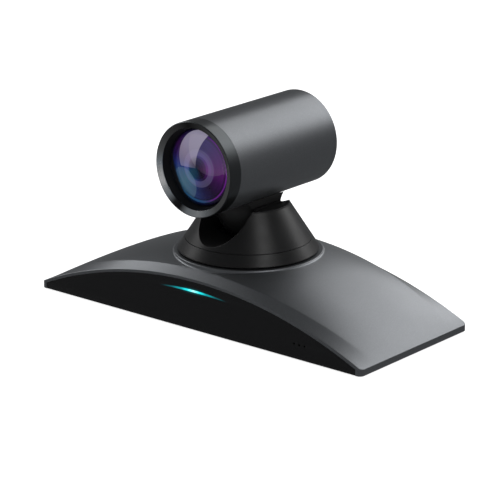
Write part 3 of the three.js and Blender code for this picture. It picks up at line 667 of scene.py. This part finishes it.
def topz(x, y):
    x = np.clip(np.asarray(x, float), -200, 200)
    ay = np.abs(np.asarray(y, float))
    c = crease(x)
    zc = arcz(x, crown(ay))
    z1, z0 = arcz(x, crown(c)), arcz(x, 51.66)
    zb = z0 + (z1 - z0) * (83 - ay) / (83 - c)
    k = 0.06
    m = np.minimum(zc, zb)
    return m - k * np.log(np.exp(-(zc - m) / k) + np.exp(-(zb - m) / k))


def panel_z(x):
    return -418.9 + math.sqrt(467.8 ** 2 - x * x)


def build_cover():
    per = []
    xs = [-195, -194.2, -193.5] + list(np.linspace(-190, 190, 96)) + [193.5, 194.2, 195]
    for x in xs:
        per.append((x, -83.0, 0.0, -1.0))
    def corner(cx, cy, a0):
        for k in range(1, 8):
            t = math.radians(a0 + 90 * k / 8)
            per.append((cx + 5 * math.cos(t), cy + 5 * math.sin(t), math.cos(t), math.sin(t)))
    corner(195, -78, -90)
    for y in np.linspace(-78, 78, 41):
        per.append((200.0, y, 1.0, 0.0))
    corner(195, 78, 0)
    for x in xs[::-1]:
        per.append((x, 83.0, 0.0, 1.0))
    corner(-195, 78, 90)
    for y in np.linspace(78, -78, 41):
        per.append((-200.0, y, -1.0, 0.0))
    corner(-195, -78, 180)
    per = np.array(per)
    N = len(per)
    P0, nrm = per[:, :2], per[:, 2:]
    window = (np.abs(P0[:, 0]) <= 193.5 + 1e-6) & (np.abs(P0[:, 1]) > 82.99)
    verts, faces = [], []

    def ring(delta, z):
        d = np.broadcast_to(np.asarray(delta, float), (N,))
        p = P0 - nrm * d[:, None]
        zz = z(p) if callable(z) else np.broadcast_to(np.asarray(z, float), (N,))
        start = len(verts)
        verts.extend([(float(a), float(b), float(c)) for (a, b), c in zip(p, zz)])
        return np.arange(start, start + N)

    def strip(A, B, mask=None):
        for k in range(N):
            j = (k + 1) % N
            if mask is None or (mask[k] and mask[j]):
                faces.append((A[k], B[k], B[j], A[j]))

    zt = lambda p: topz(p[:, 0], p[:, 1])
    e0 = zt(P0)
    e1 = zt(P0 - nrm * 1.5)
    beta = np.arctan2(e1 - e0, 1.5)
    r = 0.75
    zc = e0 + r * np.tan(beta) - r / np.cos(beta)
    rA = ring(2.6, zt)
    rA2 = ring(r * (1 - np.sin(beta)) + 0.5, lambda p: zt(p))
    prev = rA2
    strip(rA, rA2)
    for k in range(0, 6):
        psi = (math.pi / 2 - beta) * (1 - k / 5)
        cur = ring(r - r * np.cos(psi), zc + r * np.sin(psi))
        strip(prev, cur); prev = cur
    cur = ring(0.0, zc - 0.35)
    strip(prev, cur); prev = cur
    ax = np.abs(P0[:, 0])
    zw = np.where(window, np.array([panel_z(min(193.5, x)) for x in ax]) + 0.3, 7.3 - 1.6 * np.clip((ax - 193.5) / 6.5, 0, 1))
    zpan = np.array([panel_z(min(193.5, x)) for x in ax])
    rW = ring(0.0, zw)
    strip(prev, rW)
    # window edge
    w1 = ring(0.1, zpan + 0.08); w2 = ring(0.32, zpan); w3 = ring(2.9, zpan)
    strip(rW, w1, window); strip(w1, w2, window); strip(w2, w3, window)
    col = ~window
    colm = col.copy()
    for k in range(N):     # the columns include the two end points of each window
        if window[k] and (not window[(k + 1) % N] or not window[k - 1]):
            colm[k] = True
    c1 = ring(0.0, 1.35); c2 = ring(0.1, 1.1); c3 = ring(0.35, 1.0); c4 = ring(2.9, 1.0)
    def colstrip(A, B):
        for k in range(N):
            j = (k + 1) % N
            if colm[k] and colm[j] and not (window[k] and window[j]):
                faces.append((A[k], B[k], B[j], A[j]))
    colstrip(rW, c1); colstrip(c1, c2); colstrip(c2, c3); colstrip(c3, c4)
    for k in range(N):
        if window[k] and colm[k]:
            faces.append((rW[k], w1[k], w2[k], w3[k], c4[k], c3[k], c2[k], c1[k]))
    inner_low = np.where(window, w3, c4)
    rI = ring(2.9, lambda p: zt(p) - 2.5)
    for k in range(N):
        j = (k + 1) % N
        a, b = (w3, w3) if (window[k] and window[j]) else (c4, c4)
        faces.append((a[k], rI[k], rI[j], b[j]))
    for k in range(N):
        if window[k] and colm[k]:
            faces.append((w3[k], c4[k], rI[k]))

    # top field with a round hole
    def field(boundary, Rh, seg, zfun, xs_, row_of):
        bpts = [verts[i][:2] for i in boundary]
        circle = [(Rh * math.cos(2 * math.pi * k / seg), AY + Rh * math.sin(2 * math.pi * k / seg)) for k in range(seg)]
        cstart = len(verts)
        for (x, y) in circle:
            verts.append((x, y, float(zfun(x, y))))
        pts = list(bpts) + circle
        ids = list(boundary) + list(range(cstart, cstart + seg))
        for x in xs_:
            for y in row_of(x):
                if math.hypot(x, y - AY) < Rh + 1.3:
                    continue
                pts.append((x, y)); ids.append(-1)
        edges = [(k, (k + 1) % len(bpts)) for k in range(len(bpts))]
        o = len(bpts)
        edges += [(o + k, o + (k + 1) % seg) for k in range(seg)]
        res = delaunay_2d_cdt([Vector(p) for p in pts], edges, [], 0, 1e-7)
        ov, of, orig = res[0], res[2], res[3]
        mapping = []
        for v, og in zip(ov, orig):
            known = [ids[i] for i in og if ids[i] >= 0]
            if known:
                mapping.append(int(known[0]))
            else:
                mapping.append(len(verts))
                verts.append((v[0], v[1], float(zfun(v[0], v[1]))))
        for f in of:
            cx = sum(ov[i][0] for i in f) / len(f); cy = sum(ov[i][1] for i in f) / len(f)
            if math.hypot(cx, cy - AY) < Rh * math.cos(math.pi / seg) * 0.9995:
                continue
            faces.append(tuple(mapping[i] for i in f))
        return list(range(cstart, cstart + seg))

    def rows_out(x):
        c = float(crease(x))
        edge = 83 - 2.6 if abs(x) < 194 else 83 - 2.6 - 2.0
        out = [k * c for k in np.linspace(0, 1, 17)[:-2]]
        out += [c - 4.5, c - 2.8, c - 1.8, c - 1.0, c - 0.5, c - 0.2, c, c + 0.2, c + 0.5, c + 1.0, c + 1.9]
        out += [c + 2.8 + (edge - c - 2.8) * k for k in (0.25, 0.5, 0.75)]
        out = [y for y in out if y < edge - 0.8]
        return sorted(set([round(v, 4) for v in out] + [round(-v, 4) for v in out]))
    SEG = 192
    hole = field(rA, 75.5, SEG, lambda x, y: topz(x, y), list(np.linspace(-195.5, 195.5, 87)), rows_out)
    # collar
    prof = [(74.4, 0), (73.8, 0.0), (73.3, 0.03), (72.95, 0.09), (72.65, 0.2), (72.42, 0.36), (72.25, 0.58), (72.1, 0.78), (71.9, 0.91), (71.65, 0.975), (71.3, 1.0), (70.6, 1.0)]
    prev = hole
    def cring(R, zf):
        st = len(verts)
        for k in range(SEG):
            t = 2 * math.pi * k / SEG
            x, y = R * math.cos(t), AY + R * math.sin(t)
            verts.append((x, y, float(zf(x, y))))
        return list(range(st, st + SEG))
    def cstrip(A, B):
        for k in range(len(A)):
            j = (k + 1) % len(A)
            faces.append((A[k], A[j], B[j], B[k]))
    for R, s in prof:
        cur = cring(R, lambda x, y: topz(x, y) * (1 - s) + 62.9 * s)
        cstrip(prev, cur); prev = cur
    for R, z in [(67.2, 62.9), (66.6, 62.9), (66.25, 62.75), (66.05, 62.4), (66, 61.8), (66, 58.9), (65.6, 58.5), (28, 58.5), (27.3, 58.3), (27, 57.8), (27, 56), (69.5, 56)]:
        cur = cring(R, lambda x, y: z)
        cstrip(prev, cur); prev = cur
    ihole = field(rI, 69.5, SEG, lambda x, y: topz(x, y) - 2.5, list(np.linspace(-190, 190, 32)), lambda x: [k * float(crease(x)) for k in (-0.95, -0.75, -0.5, -0.25, 0, 0.25, 0.5, 0.75, 0.95)])
    cstrip(prev, ihole)
    # keep only used vertices
    used = sorted({i for f in faces for i in f})
    remap = {o: n for n, o in enumerate(used)}
    V = [verts[i] for i in used]
    F = [tuple(remap[i] for i in f) for f in faces]
    return add_obj("base_cover_shell", V, F, M["paint"], "base", ["base_cover"], angle=38)


cover = build_cover()

# ====================================================================== front and rear panels
def arch(hw, R, zb, n=120):
    pts = [(-hw, zb), (hw, zb)]
    for i in range(n + 1):
        x = hw - 2 * hw * i / n
        pts.append((x, -418.9 + math.sqrt(R * R - x * x)))
    return pts


def light_strip(grow, hx=41.0, h=0.95, tip=0.3, n=48):
    up, dn = [], []
    hx += grow
    for i in range(n + 1):
        x = -hx + 2 * hx * i / n
        z = -410.2 + math.sqrt(450.0 ** 2 - x * x)
        t = tip + (h - tip) * (1 - (x / hx) ** 2) + grow
        up.append((x, z + t)); dn.append((x, z - t))
    return dn + up[::-1]


mics = [circ(x, 15.4, 1.1, 24) for x in (122.4, 128.4, 134.4)]
plate("front_panel_gloss", arch(193.38, 467.68, 1.2), [light_strip(0.12)] + mics, -82.85, -80.2, M["gloss"], "base", ["front_panel"], bevel=0.18)
plate("light_bar", light_strip(0.02), [], -82.8, -78.6, M["light"], "base", ["status_light_guide"], bevel=0.06, res=2)

S = {"dc": (-96, 4.7, 10.9, 21.9), "eth": (-70, 8, 10.9, 24.4), "usbL": (-42, 7.2, 10.9, 17.9), "usbR": (-22, 7.2, 10.9, 17.9), "hdmiL": (4, 7.8, 10.9, 17.1), "hdmiR": (27, 7.8, 10.9, 17.1), "mic": (50, 3.6, 10.9, 17.9)}
holes = [rrect(x, (z0 + z1) / 2, hw + 0.25, (z1 - z0) / 2 + 0.25, 0.5, 3) for x, hw, z0, z1 in S.values()]
holes.append(circ(96, 17, 5.3, 40))
for i in range(-14, 15):            # vent slots above the sockets
    x = i * 6.4
    zt_ = -418.9 + math.sqrt(467.8 ** 2 - x * x)
    lo, hi = 29.0, min(40.0, zt_ - 5)
    if hi - lo > 3.5:
        holes.append(rrect(x, (lo + hi) / 2, 1.1, (hi - lo) / 2, 1.05, 4))
plate("rear_panel_moulding", arch(193.38, 467.68, 1.2), holes, 82.85, 80.2, M["satin"], "base", ["rear_panel"], bevel=0.2)
# dark baffle behind the vent slots
plate("rear_vent_baffle", [(-94, 27.5), (94, 27.5), (94, 36.5), (60, 42.5), (0, 45), (-60, 42.5), (-94, 36.5)], [], 79.9, 79.3, M["inner_black"], "base", (), bevel=0.1, res=1)

# ====================================================================== turret
def cone_r(z):
    return 0.64 * (171.65 - z)


sk = fillet([(cone_r(64.12) - 2.9, 64.12), (cone_r(64.12), 64.12), (cone_r(75.12), 75.12), (cone_r(75.12) - 2.9, 75.12)], [0.3, 0.55, 0.22, 0.3], 4)
lathe("turret_skirt_ring", sk, "z", (0, AY, 0), 192, M["satin"], "turret", ["turret_skirt"])


def build_shell():
    verts, faces = [], []
    R0, ZC, TOP, ZB = 26.6, 105.0, 110.5, 75.42
    NU = 56
    d = 0.7
    # channel profile for x >= 0: from the bottom to the top
    prof = []
    for i in range(NU + 1):
        a = -math.pi / 2 + (math.pi / 2) * i / NU
        prof.append((R0 * math.cos(a), ZC + R0 * math.sin(a)))
    for z in (106.2, 107.6, 109.0, TOP - d):
        prof.append((R0 + (28 - R0) * (z - ZC) / 6.5, z))
    full = [(-x, z) for x, z in prof[::-1]][:-1] + prof
    M_ = len(full)
    def add(p):
        verts.append((float(p[0]), float(p[1]), float(p[2]))); return len(verts) - 1
    def quadstrip(A, B):
        for k in range(len(A) - 1):
            faces.append((A[k], A[k + 1], B[k + 1], B[k]))
    edge_rings = {}
    for sgn in (-1, 1):     # -1 front, +1 rear
        E = []
        for (x, z) in full:
            r = cone_r(z)
            yy = math.sqrt(max(r * r - x * x, 0))
            E.append(np.array([x, AY + sgn * yy, z]))
        cols = []
        strips = []
        for (x, z), e in zip(full, E):
            r = cone_r(z)
            phi = math.asin(max(-1, min(1, x / r)))
            # down the generator from the edge
            down = np.array([0.64 * math.sin(phi), sgn * 0.64 * math.cos(phi), -1.0])
            # direction on the cone square to the edge: blend of the generator and the sideways direction
            down /= np.linalg.norm(down)
            inward = np.array([0.0, -sgn, 0.0])
            pc = e + down * d
            pw = e + inward * d
            strip = []
            for t in (0, 0.2, 0.4, 0.6, 0.8, 1.0):
                strip.append((1 - t) ** 2 * pc + 2 * t * (1 - t) * e + t * t * pw)
            strips.append(strip)
            rb = cone_r(ZB + 0.25)
            bot = np.array([rb * math.sin(phi), AY + sgn * rb * math.cos(phi), ZB + 0.25])
            col = [bot]
            for s in (0.02, 0.25, 0.5, 0.75, 0.97):
                col.append(bot + (pc - bot) * s)
            cols.append(col)
        rows = []
        for k in range(len(cols[0])):
            rows.append([add(c[k]) for c in cols])
        for s in range(6):
            rows.append([add(st[s]) for st in strips])
        for a, b in zip(rows[:-1], rows[1:]):
            quadstrip(a, b)
        edge_rings[sgn] = (rows, strips, cols)
    # channel surface between the front and rear edges
    wall_f = edge_rings[-1][0][-1]
    wall_r = edge_rings[1][0][-1]
    POX = 22.8
    chan_rows = {}
    for k, (x, z) in enumerate(full):
        yf = verts[wall_f[k]][1]; yr = verts[wall_r[k]][1]
        hole = abs(x) <= POX and (32.2 ** 2 - (ZC - z) ** 2) > 0
        if hole:
            yp = math.sqrt(32.2 ** 2 - (ZC - z) ** 2)
            stops_f = [yf + (AY - yp - yf) * s for s in (0.06, 0.5, 0.94)]
            mf = [add((x, y, z)) for y in stops_f]
            # rounded lip into the pocket and the wall of the pocket
            lip = [add((x, AY - yp - 0.05, z)), add((x, AY - yp + 0.02, z - 0.35))]
            deep = []
            for dz in (2.0, 5.0, 9.0):
                zz = z - dz
                q = 32.2 ** 2 - (ZC - zz) ** 2
                deep.append(add((x, AY - math.sqrt(q) if q > 0 else AY, zz)))
            front = [wall_f[k]] + mf + lip + deep
            stops_r = [yr + (AY + yp - yr) * s for s in (0.06, 0.5, 0.94)]
            mr = [add((x, y, z)) for y in stops_r]
            lipr = [add((x, AY + yp + 0.05, z)), add((x, AY + yp - 0.02, z - 0.35))]
            deepr = []
            for dz in (2.0, 5.0, 9.0):
                zz = z - dz
                q = 32.2 ** 2 - (ZC - zz) ** 2
                deepr.append(add((x, AY + math.sqrt(q) if q > 0 else AY, zz)))
            rear = [wall_r[k]] + mr + lipr + deepr
            chan_rows[k] = ("h", front, rear)
        else:
            sx = 1.0 if x > 0 else -1.0
            aw, ci, yc, q = abs(x), POX, 19.8, 0.35
            q = min(q, max(0.0, (aw - ci) * 0.3))
            plan = [(aw, 0.06), (aw, 0.55), (aw, 0.97)]
            pf = []
            for a_, s_ in plan:
                pf.append((a_, yf + (AY - yc - yf) * s_))
            pf += [(aw, AY - yc), (aw - (aw - ci) * 0.5, AY - yc), (ci + q, AY - yc), (ci + q * 0.3, AY - yc + q * 0.3), (ci, AY - yc + q), (ci, AY - yc * 0.6), (ci, AY)]
            pr_ = [(a_, 2 * AY - y_) for a_, y_ in pf[3:-1]][::-1]
            for a_, s_ in plan[::-1]:
                pr_.append((a_, yr + (AY + yc - yr) * s_))
            chan_rows[k] = ("s", [wall_f[k]] + [add((sx * a_, y_, z)) for a_, y_ in pf + pr_] + [wall_r[k]], None)
    for k in range(M_ - 1):
        A, B = chan_rows[k], chan_rows[k + 1]
        if A[0] == B[0] == "s":
            quadstrip(A[1], B[1])
        elif A[0] == B[0] == "h":
            quadstrip(A[1], B[1]); quadstrip(A[2], B[2])
        else:
            # step at the side of the pocket: front strip, rear strip and the flat side wall
            h, w = (A, B) if A[0] == "h" else (B, A)
            W = w[1]
            nW = len(W)
            mid = nW // 2
            faces.append((h[1][0], h[1][1], h[1][2], h[1][3], h[1][4]) + tuple(W[5::-1]))
            faces.append((h[2][0], h[2][1], h[2][2], h[2][3], h[2][4]) + tuple(W[nW - 6:]))
            faces.append(tuple(W[5:nW - 5]) + (h[2][4],) + tuple(h[2][5:]) + tuple(h[1][5:][::-1]) + (h[1][4],))
    # ears
    for sx in (1, -1):
        k = M_ - 1 if sx > 0 else 0
        sf, sr = edge_rings[-1][1][k], edge_rings[1][1][k]
        zt = TOP - d
        wallpts = chan_rows[k][1]
        loop = []
        # along the channel wall, rear to front, then round the cone, front to rear
        loop += [("w", i) for i in wallpts[::-1]]
        fr_rows = edge_rings[-1][0]
        for s in range(len(fr_rows) - 2, len(fr_rows) - 7, -1):
            loop.append(("w", fr_rows[s][k]))
        phi0 = math.asin(full[k][0] / cone_r(full[k][1]))
        p0 = abs(phi0)
        NA = 64
        arcs = []
        for i in range(1, NA):
            phi = p0 + (math.pi - 2 * p0) * i / NA
            col = []
            rb = cone_r(ZB + 0.25)
            rt = cone_r(zt)
            bot = np.array([sx * rb * math.sin(phi), AY - rb * math.cos(phi), ZB + 0.25])
            top = np.array([sx * rt * math.sin(phi), AY - rt * math.cos(phi), zt])
            for s in (0, 0.02, 0.25, 0.5, 0.75, 0.97, 1.0):
                col.append(add(bot + (top - bot) * s))
            arcs.append(col)
        # side columns of the front and rear sectors at the ear
        fcol = [edge_rings[-1][0][j][k] for j in range(0, 7)]
        rcol = [edge_rings[1][0][j][k] for j in range(0, 7)]
        seq = [fcol] + arcs + [rcol]
        for a, b in zip(seq[:-1], seq[1:]):
            quadstrip(a, b)
        loop += [("w", c[-1]) for c in arcs]
        rr_rows = edge_rings[1][0]
        for s in range(len(rr_rows) - 6, len(rr_rows) - 1):
            loop.append(("w", rr_rows[s][k]))
        ids = [i for _, i in loop]
        pts = np.array([verts[i] for i in ids])
        n = len(ids)
        cen = pts.mean(0)
        # inset ring directions in plan
        nx = np.roll(pts, -1, 0)[:, :2] - np.roll(pts, 1, 0)[:, :2]
        inn = np.stack([-nx[:, 1], nx[:, 0]], 1)
        inn /= np.linalg.norm(inn, axis=1)[:, None]
        area = 0.5 * np.sum(pts[:, 0] * np.roll(pts[:, 1], -1) - np.roll(pts[:, 0], -1) * pts[:, 1])
        inn *= 1.0 if area > 0 else -1.0
        prev = ids
        for t in (0.25, 0.5, 0.75, 1.0):
            cur = []
            for q, (p, m_) in enumerate(zip(pts, inn)):
                up = np.array([0, 0, 1.0])
                a_, b_ = p, p + up * d * 1.0
                b_ = np.array([p[0], p[1], TOP]) - np.array([m_[0], m_[1], 0]) * 0.0
                c_ = np.array([p[0] + m_[0] * d, p[1] + m_[1] * d, TOP])
                cur.append(add((1 - t) ** 2 * a_ + 2 * t * (1 - t) * b_ + t * t * c_))
            for q in range(n):
                j = (q + 1) % n
                faces.append((prev[q], prev[j], cur[j], cur[q]))
            prev = cur
        # flat top
        c2 = []
        for q in range(n):
            p = np.array(verts[prev[q]])
            c2.append(add(p + (np.array([cen[0], cen[1], TOP]) - p) * 0.06))
        for q in range(n):
            j = (q + 1) % n
            faces.append((prev[q], prev[j], c2[j], c2[q]))
        faces.append(tuple(c2))
    # rounded lower edge and a short return inside
    ring = []
    K = 192
    loopid = []
    fr = [r[0] for r in [edge_rings[-1][0]]][0]
    prev = None
    for (rr, zz) in [(cone_r(ZB + 0.25), ZB + 0.25), (cone_r(ZB + 0.25) - 0.02, ZB + 0.12), (cone_r(ZB + 0.25) - 0.1, ZB + 0.03), (cone_r(ZB + 0.25) - 0.25, ZB), (cone_r(ZB) - 3.0, ZB), (cone_r(ZB) - 4.2, ZB + 3.5)]:
        cur = [add((rr * math.cos(2 * math.pi * q / K), AY + rr * math.sin(2 * math.pi * q / K), zz)) for q in range(K)]
        if prev:
            for q in range(K):
                j = (q + 1) % K
                faces.append((prev[q], prev[j], cur[j], cur[q]))
        prev = cur
    # the ear corners fall away under the path of the tilting barrel
    st, ct = math.sin(math.radians(25.0)), math.cos(math.radians(25.0))
    for i, (x, y, z) in enumerate(verts):
        if z > 104 and 20 < abs(x) < 46:
            top = ZC + (158.84 - ZC - math.sqrt(46.35 ** 2 - x * x) - abs(y - AY) * st) / ct
            if z > top:
                verts[i] = (x, y, top)
    return add_obj("turret_cone", verts, faces, M["satin"], "turret", ["turret_shell"], angle=40, merge=0.002)


build_shell()


# ====================================================================== neck
def build_neck():
    verts, faces = [], []
    BR, HX, rf = 31.0, 21.9, 0.7
    zr = [(104, 31.0), (106, 31.0), (108, 31.0), (110, 31.15), (112.5, 31.9), (115.5, 33.4), (119.5, 35.9), (126, 40.0)]
    zs_ = np.array([a for a, _ in zr]); rs_ = np.array([b for _, b in zr])
    # smooth the flare
    zz = np.linspace(104, 126, 60)
    cf = np.polyfit(zs_, rs_, 5)
    def post_r(z):
        return float(np.polyval(cf, z))
    stations = []
    for k in range(5):
        a = math.pi / 2 * k / 4
        stations.append((-(HX - rf + rf * math.cos(a)), rf * (1 - math.sin(a))))
    for x in np.linspace(-HX + rf, HX - rf, 31)[1:-1]:
        stations.append((x, 0.0))
    stations += [(-x, i) for x, i in stations[:5][::-1]]
    rings = []
    for x, inset in stations:
        zb = 158.84 - math.sqrt(46.42 ** 2 - x * x)
        pts = []
        zs = list(np.linspace(zb, 105.5, 22))
        for z in zs:
            r = max(post_r(z), math.sqrt(max(BR * BR - (z - 105) ** 2, 0))) if z < 112 else post_r(z)
            pts.append((-math.sqrt(max(r * r - x * x, 0)) + inset, z))
        rc = math.sqrt(BR * BR - x * x) - inset
        for k in range(1, 48):
            a = math.pi + math.pi * k / 48
            pts.append((rc * math.cos(a), 105 + rc * math.sin(a)))
        for z in zs[::-1]:
            r = max(post_r(z), math.sqrt(max(BR * BR - (z - 105) ** 2, 0))) if z < 112 else post_r(z)
            pts.append((math.sqrt(max(r * r - x * x, 0)) - inset, z))
        ring = []
        for y, z in pts:
            ring.append(len(verts)); verts.append((x, AY + y, z))
        rings.append(ring)
    n = len(rings[0])
    for a, b in zip(rings[:-1], rings[1:]):
        for k in range(n):
            j = (k + 1) % n
            faces.append((a[k], b[k], b[j], a[j]))
    for ring in (rings[0], rings[-1]):
        c = np.mean([verts[i] for i in ring], axis=0)
        inner = []
        for i in ring:
            p = np.array(verts[i]); q = p + (c - p) * 0.03; q[0] = p[0]
            inner.append(len(verts)); verts.append(tuple(q))
        for k in range(n):
            j = (k + 1) % n
            faces.append((ring[k], ring[j], inner[j], inner[k]))
        faces.append(tuple(inner))
    return add_obj("neck_moulding", verts, faces, M["satin"], "head", ["neck"], angle=40)


build_neck()

# ====================================================================== camera head
HC = (0, 0, 158.84)
HR = 46.07
pr = fillet([(43.5, -66.86), (HR, -66.86), (HR, 77.64), (44.2, 77.64), (43.5, 76.9)], [0.05, 0.12, 0.85, 0.25, 0.1], 5)
pr2 = []
for a, b in zip(pr, pr[1:] + pr[:1]):
    pr2.append(a)
    if abs(a[0] - HR) < 1e-6 and abs(b[0] - HR) < 1e-6 and abs(a[1] - b[1]) > 40:
        for s in np.linspace(0, 1, 14)[1:-1]:
            pr2.append((HR, a[1] + (b[1] - a[1]) * s))
lathe("barrel_tube", pr2, "y", HC, 192, M["paint"], "head", ["barrel_housing"])

bz = fillet([(40.6, -66.95), (40.6, -79.3), (39.75, -79.5), (39.75, -80.05), (45.25, -82.43), (HR, -81.75), (HR, -66.95)], [0.1, 0.1, 0.1, 0.15, 0.2, 0.28, 0.12], 5)
def bez_mat(a, b):
    lo, hi = min(a[1], b[1]), max(a[1], b[1])
    r = (a[0] + b[0]) / 2
    return 1 if (hi < -79.9 and r > 39.7 and r < 45.45) else 0
lathe("bezel_ring", bz, "y", HC, 192, [M["bezel"], M["bevel"]], "head", ["front_bezel"], mat_of=bez_mat)

sh = fillet([(40.3, -68.2), (40.3, -79.0), (39.5, -79.75), (37.35, -71.6), (37.35, -69.3), (35, -69.3), (35, -68.2)], [0.1, 0.1, 0.25, 0.3, 0.1, 0.1, 0.1], 4)
lathe("shroud_ring", sh, "y", HC, 160, M["inner_black"], "head", ["lens_shroud"])

# front window: a shallow dome
def dome(name, R, edge_y, sag, thick, mat, seg, replaces, edge_fillet=0.35, rings=26):
    Rg = (R * R + sag * sag) / (2 * sag)
    pts = [(0.0, edge_y - sag)]
    for i in range(1, rings + 1):
        r = (R - edge_fillet) * i / rings
        pts.append((r, edge_y - sag + Rg - math.sqrt(Rg * Rg - r * r)))
    pts += [(R - 0.1, edge_y + 0.12), (R, edge_y + 0.45), (R, edge_y + thick - 0.2), (R - 0.2, edge_y + thick)]
    Ri = Rg - thick
    for i in range(rings - 1, -1, -1):
        r = (R - 1.0) * i / (rings - 1)
        pts.append((r, edge_y + thick - sag * 0.92 + (Ri - math.sqrt(Ri * Ri - r * r)) * 0.92 if sag > 0 else edge_y + thick))
    return lathe(name, pts, "y", HC, seg, mat, "head", replaces, angle=50, closed=False)


M["window"] = clear_glass("front_window_glass", (0.93, 0.90, 1.0))
dome("front_window", 36.9, -72.4, 5.3, 1.2, M["window"], 160, ["lens_window"])

# inner element, large and domed
def lens_body(name, R, y_apex, sag, y_back, mat, replaces=(), seg=128, rings=22):
    Rg = (R * R + sag * sag) / (2 * sag)
    pts = [(0.0, y_apex)]
    for i in range(1, rings + 1):
        r = R * i / rings
        pts.append((r, y_apex + Rg - math.sqrt(Rg * Rg - r * r)))
    pts += [(R, y_back), (0.0, y_back)]
    return lathe(name, pts, "y", HC, seg, mat, "head", replaces, angle=40, closed=False)


lens_body("coated_front_element", 36.6, -75.85, 5.0, -69.6, M["front_lens"], rings=30, seg=160)
lens_body("inner_element", 19.2, -56.4, 5.2, -49.6, M["coat1"], ["lens_element_front"])
tube_pts = fillet([(34.6, -69.0), (34.6, -46), (19.5, -46), (19.5, -50), (22, -50), (22, -54), (26, -54), (26, -58.5), (30, -58.5), (30, -64), (33, -64), (33, -69.0)], 0.25, 3)
lathe("stepped_lens_tube", tube_pts, "y", HC, 128, M["inner_black"], "head", ["lens_tube"])

# rear cap with a shallow groove and vent slots
def rear_holes():
    out = []
    for j, z in enumerate(np.linspace(-16, 16, 9)):
        hw = math.sqrt(24.0 ** 2 - z * z)
        out.append(rrect(0, 158.84 + z, hw, 0.9, 0.85, 4))
    return out
plate("rear_cap_disc", circ(0, 158.84, 43.2, 160), rear_holes(), 77.1, 74.4, M["satin"], "head", ["rear_cap"], bevel=0.35)
plate("rear_cap_baffle", circ(0, 158.84, 30, 64), [], 74.2, 73.6, M["inner_black"], "head", (), bevel=0.1, res=1)

# ====================================================================== carried-over CAD nodes
look = {
    "rubber": ["foot_front_left", "foot_front_right", "foot_rear_left", "foot_rear_right"],
    "steel": ["plate_screw_front_left", "plate_screw_front_right", "plate_screw_rear_left", "plate_screw_rear_right", "ethernet_socket", "usb_socket_left", "usb_socket_right", "hdmi_socket_left", "hdmi_socket_right", "pan_motor", "pan_spindle", "tilt_motor"],
    "zinc": ["base_plate", "pan_frame", "turret_platform", "tilt_bracket_left", "tilt_bracket_right", "head_chassis"],
    "pcb": ["main_board", "led_board", "image_sensor_board", "head_board"],
    "alloy": ["heat_sink", "turret_hub"],
    "nylon": ["pan_gear", "tilt_gear"],
    "brass": ["pan_pinion", "pan_bearing", "tilt_bearing_left", "tilt_bearing_right", "tilt_pinion"],
    "satin": ["trunnion_left", "trunnion_right", "power_button"],
    "inner_black": ["microphone_board"],
    "plastic": ["power_inlet", "microphone_jack", "camera_block", "zoom_carriage", "focus_carriage"],
}
for n in ("zoom_lens", "focus_lens"):
    NODES[n].data.materials.clear(); NODES[n].data.materials.append(M["small_glass"])
for key, names in look.items():
    for n in names:
        me = NODES[n].data
        me.materials.clear()
        me.materials.append(M[key])
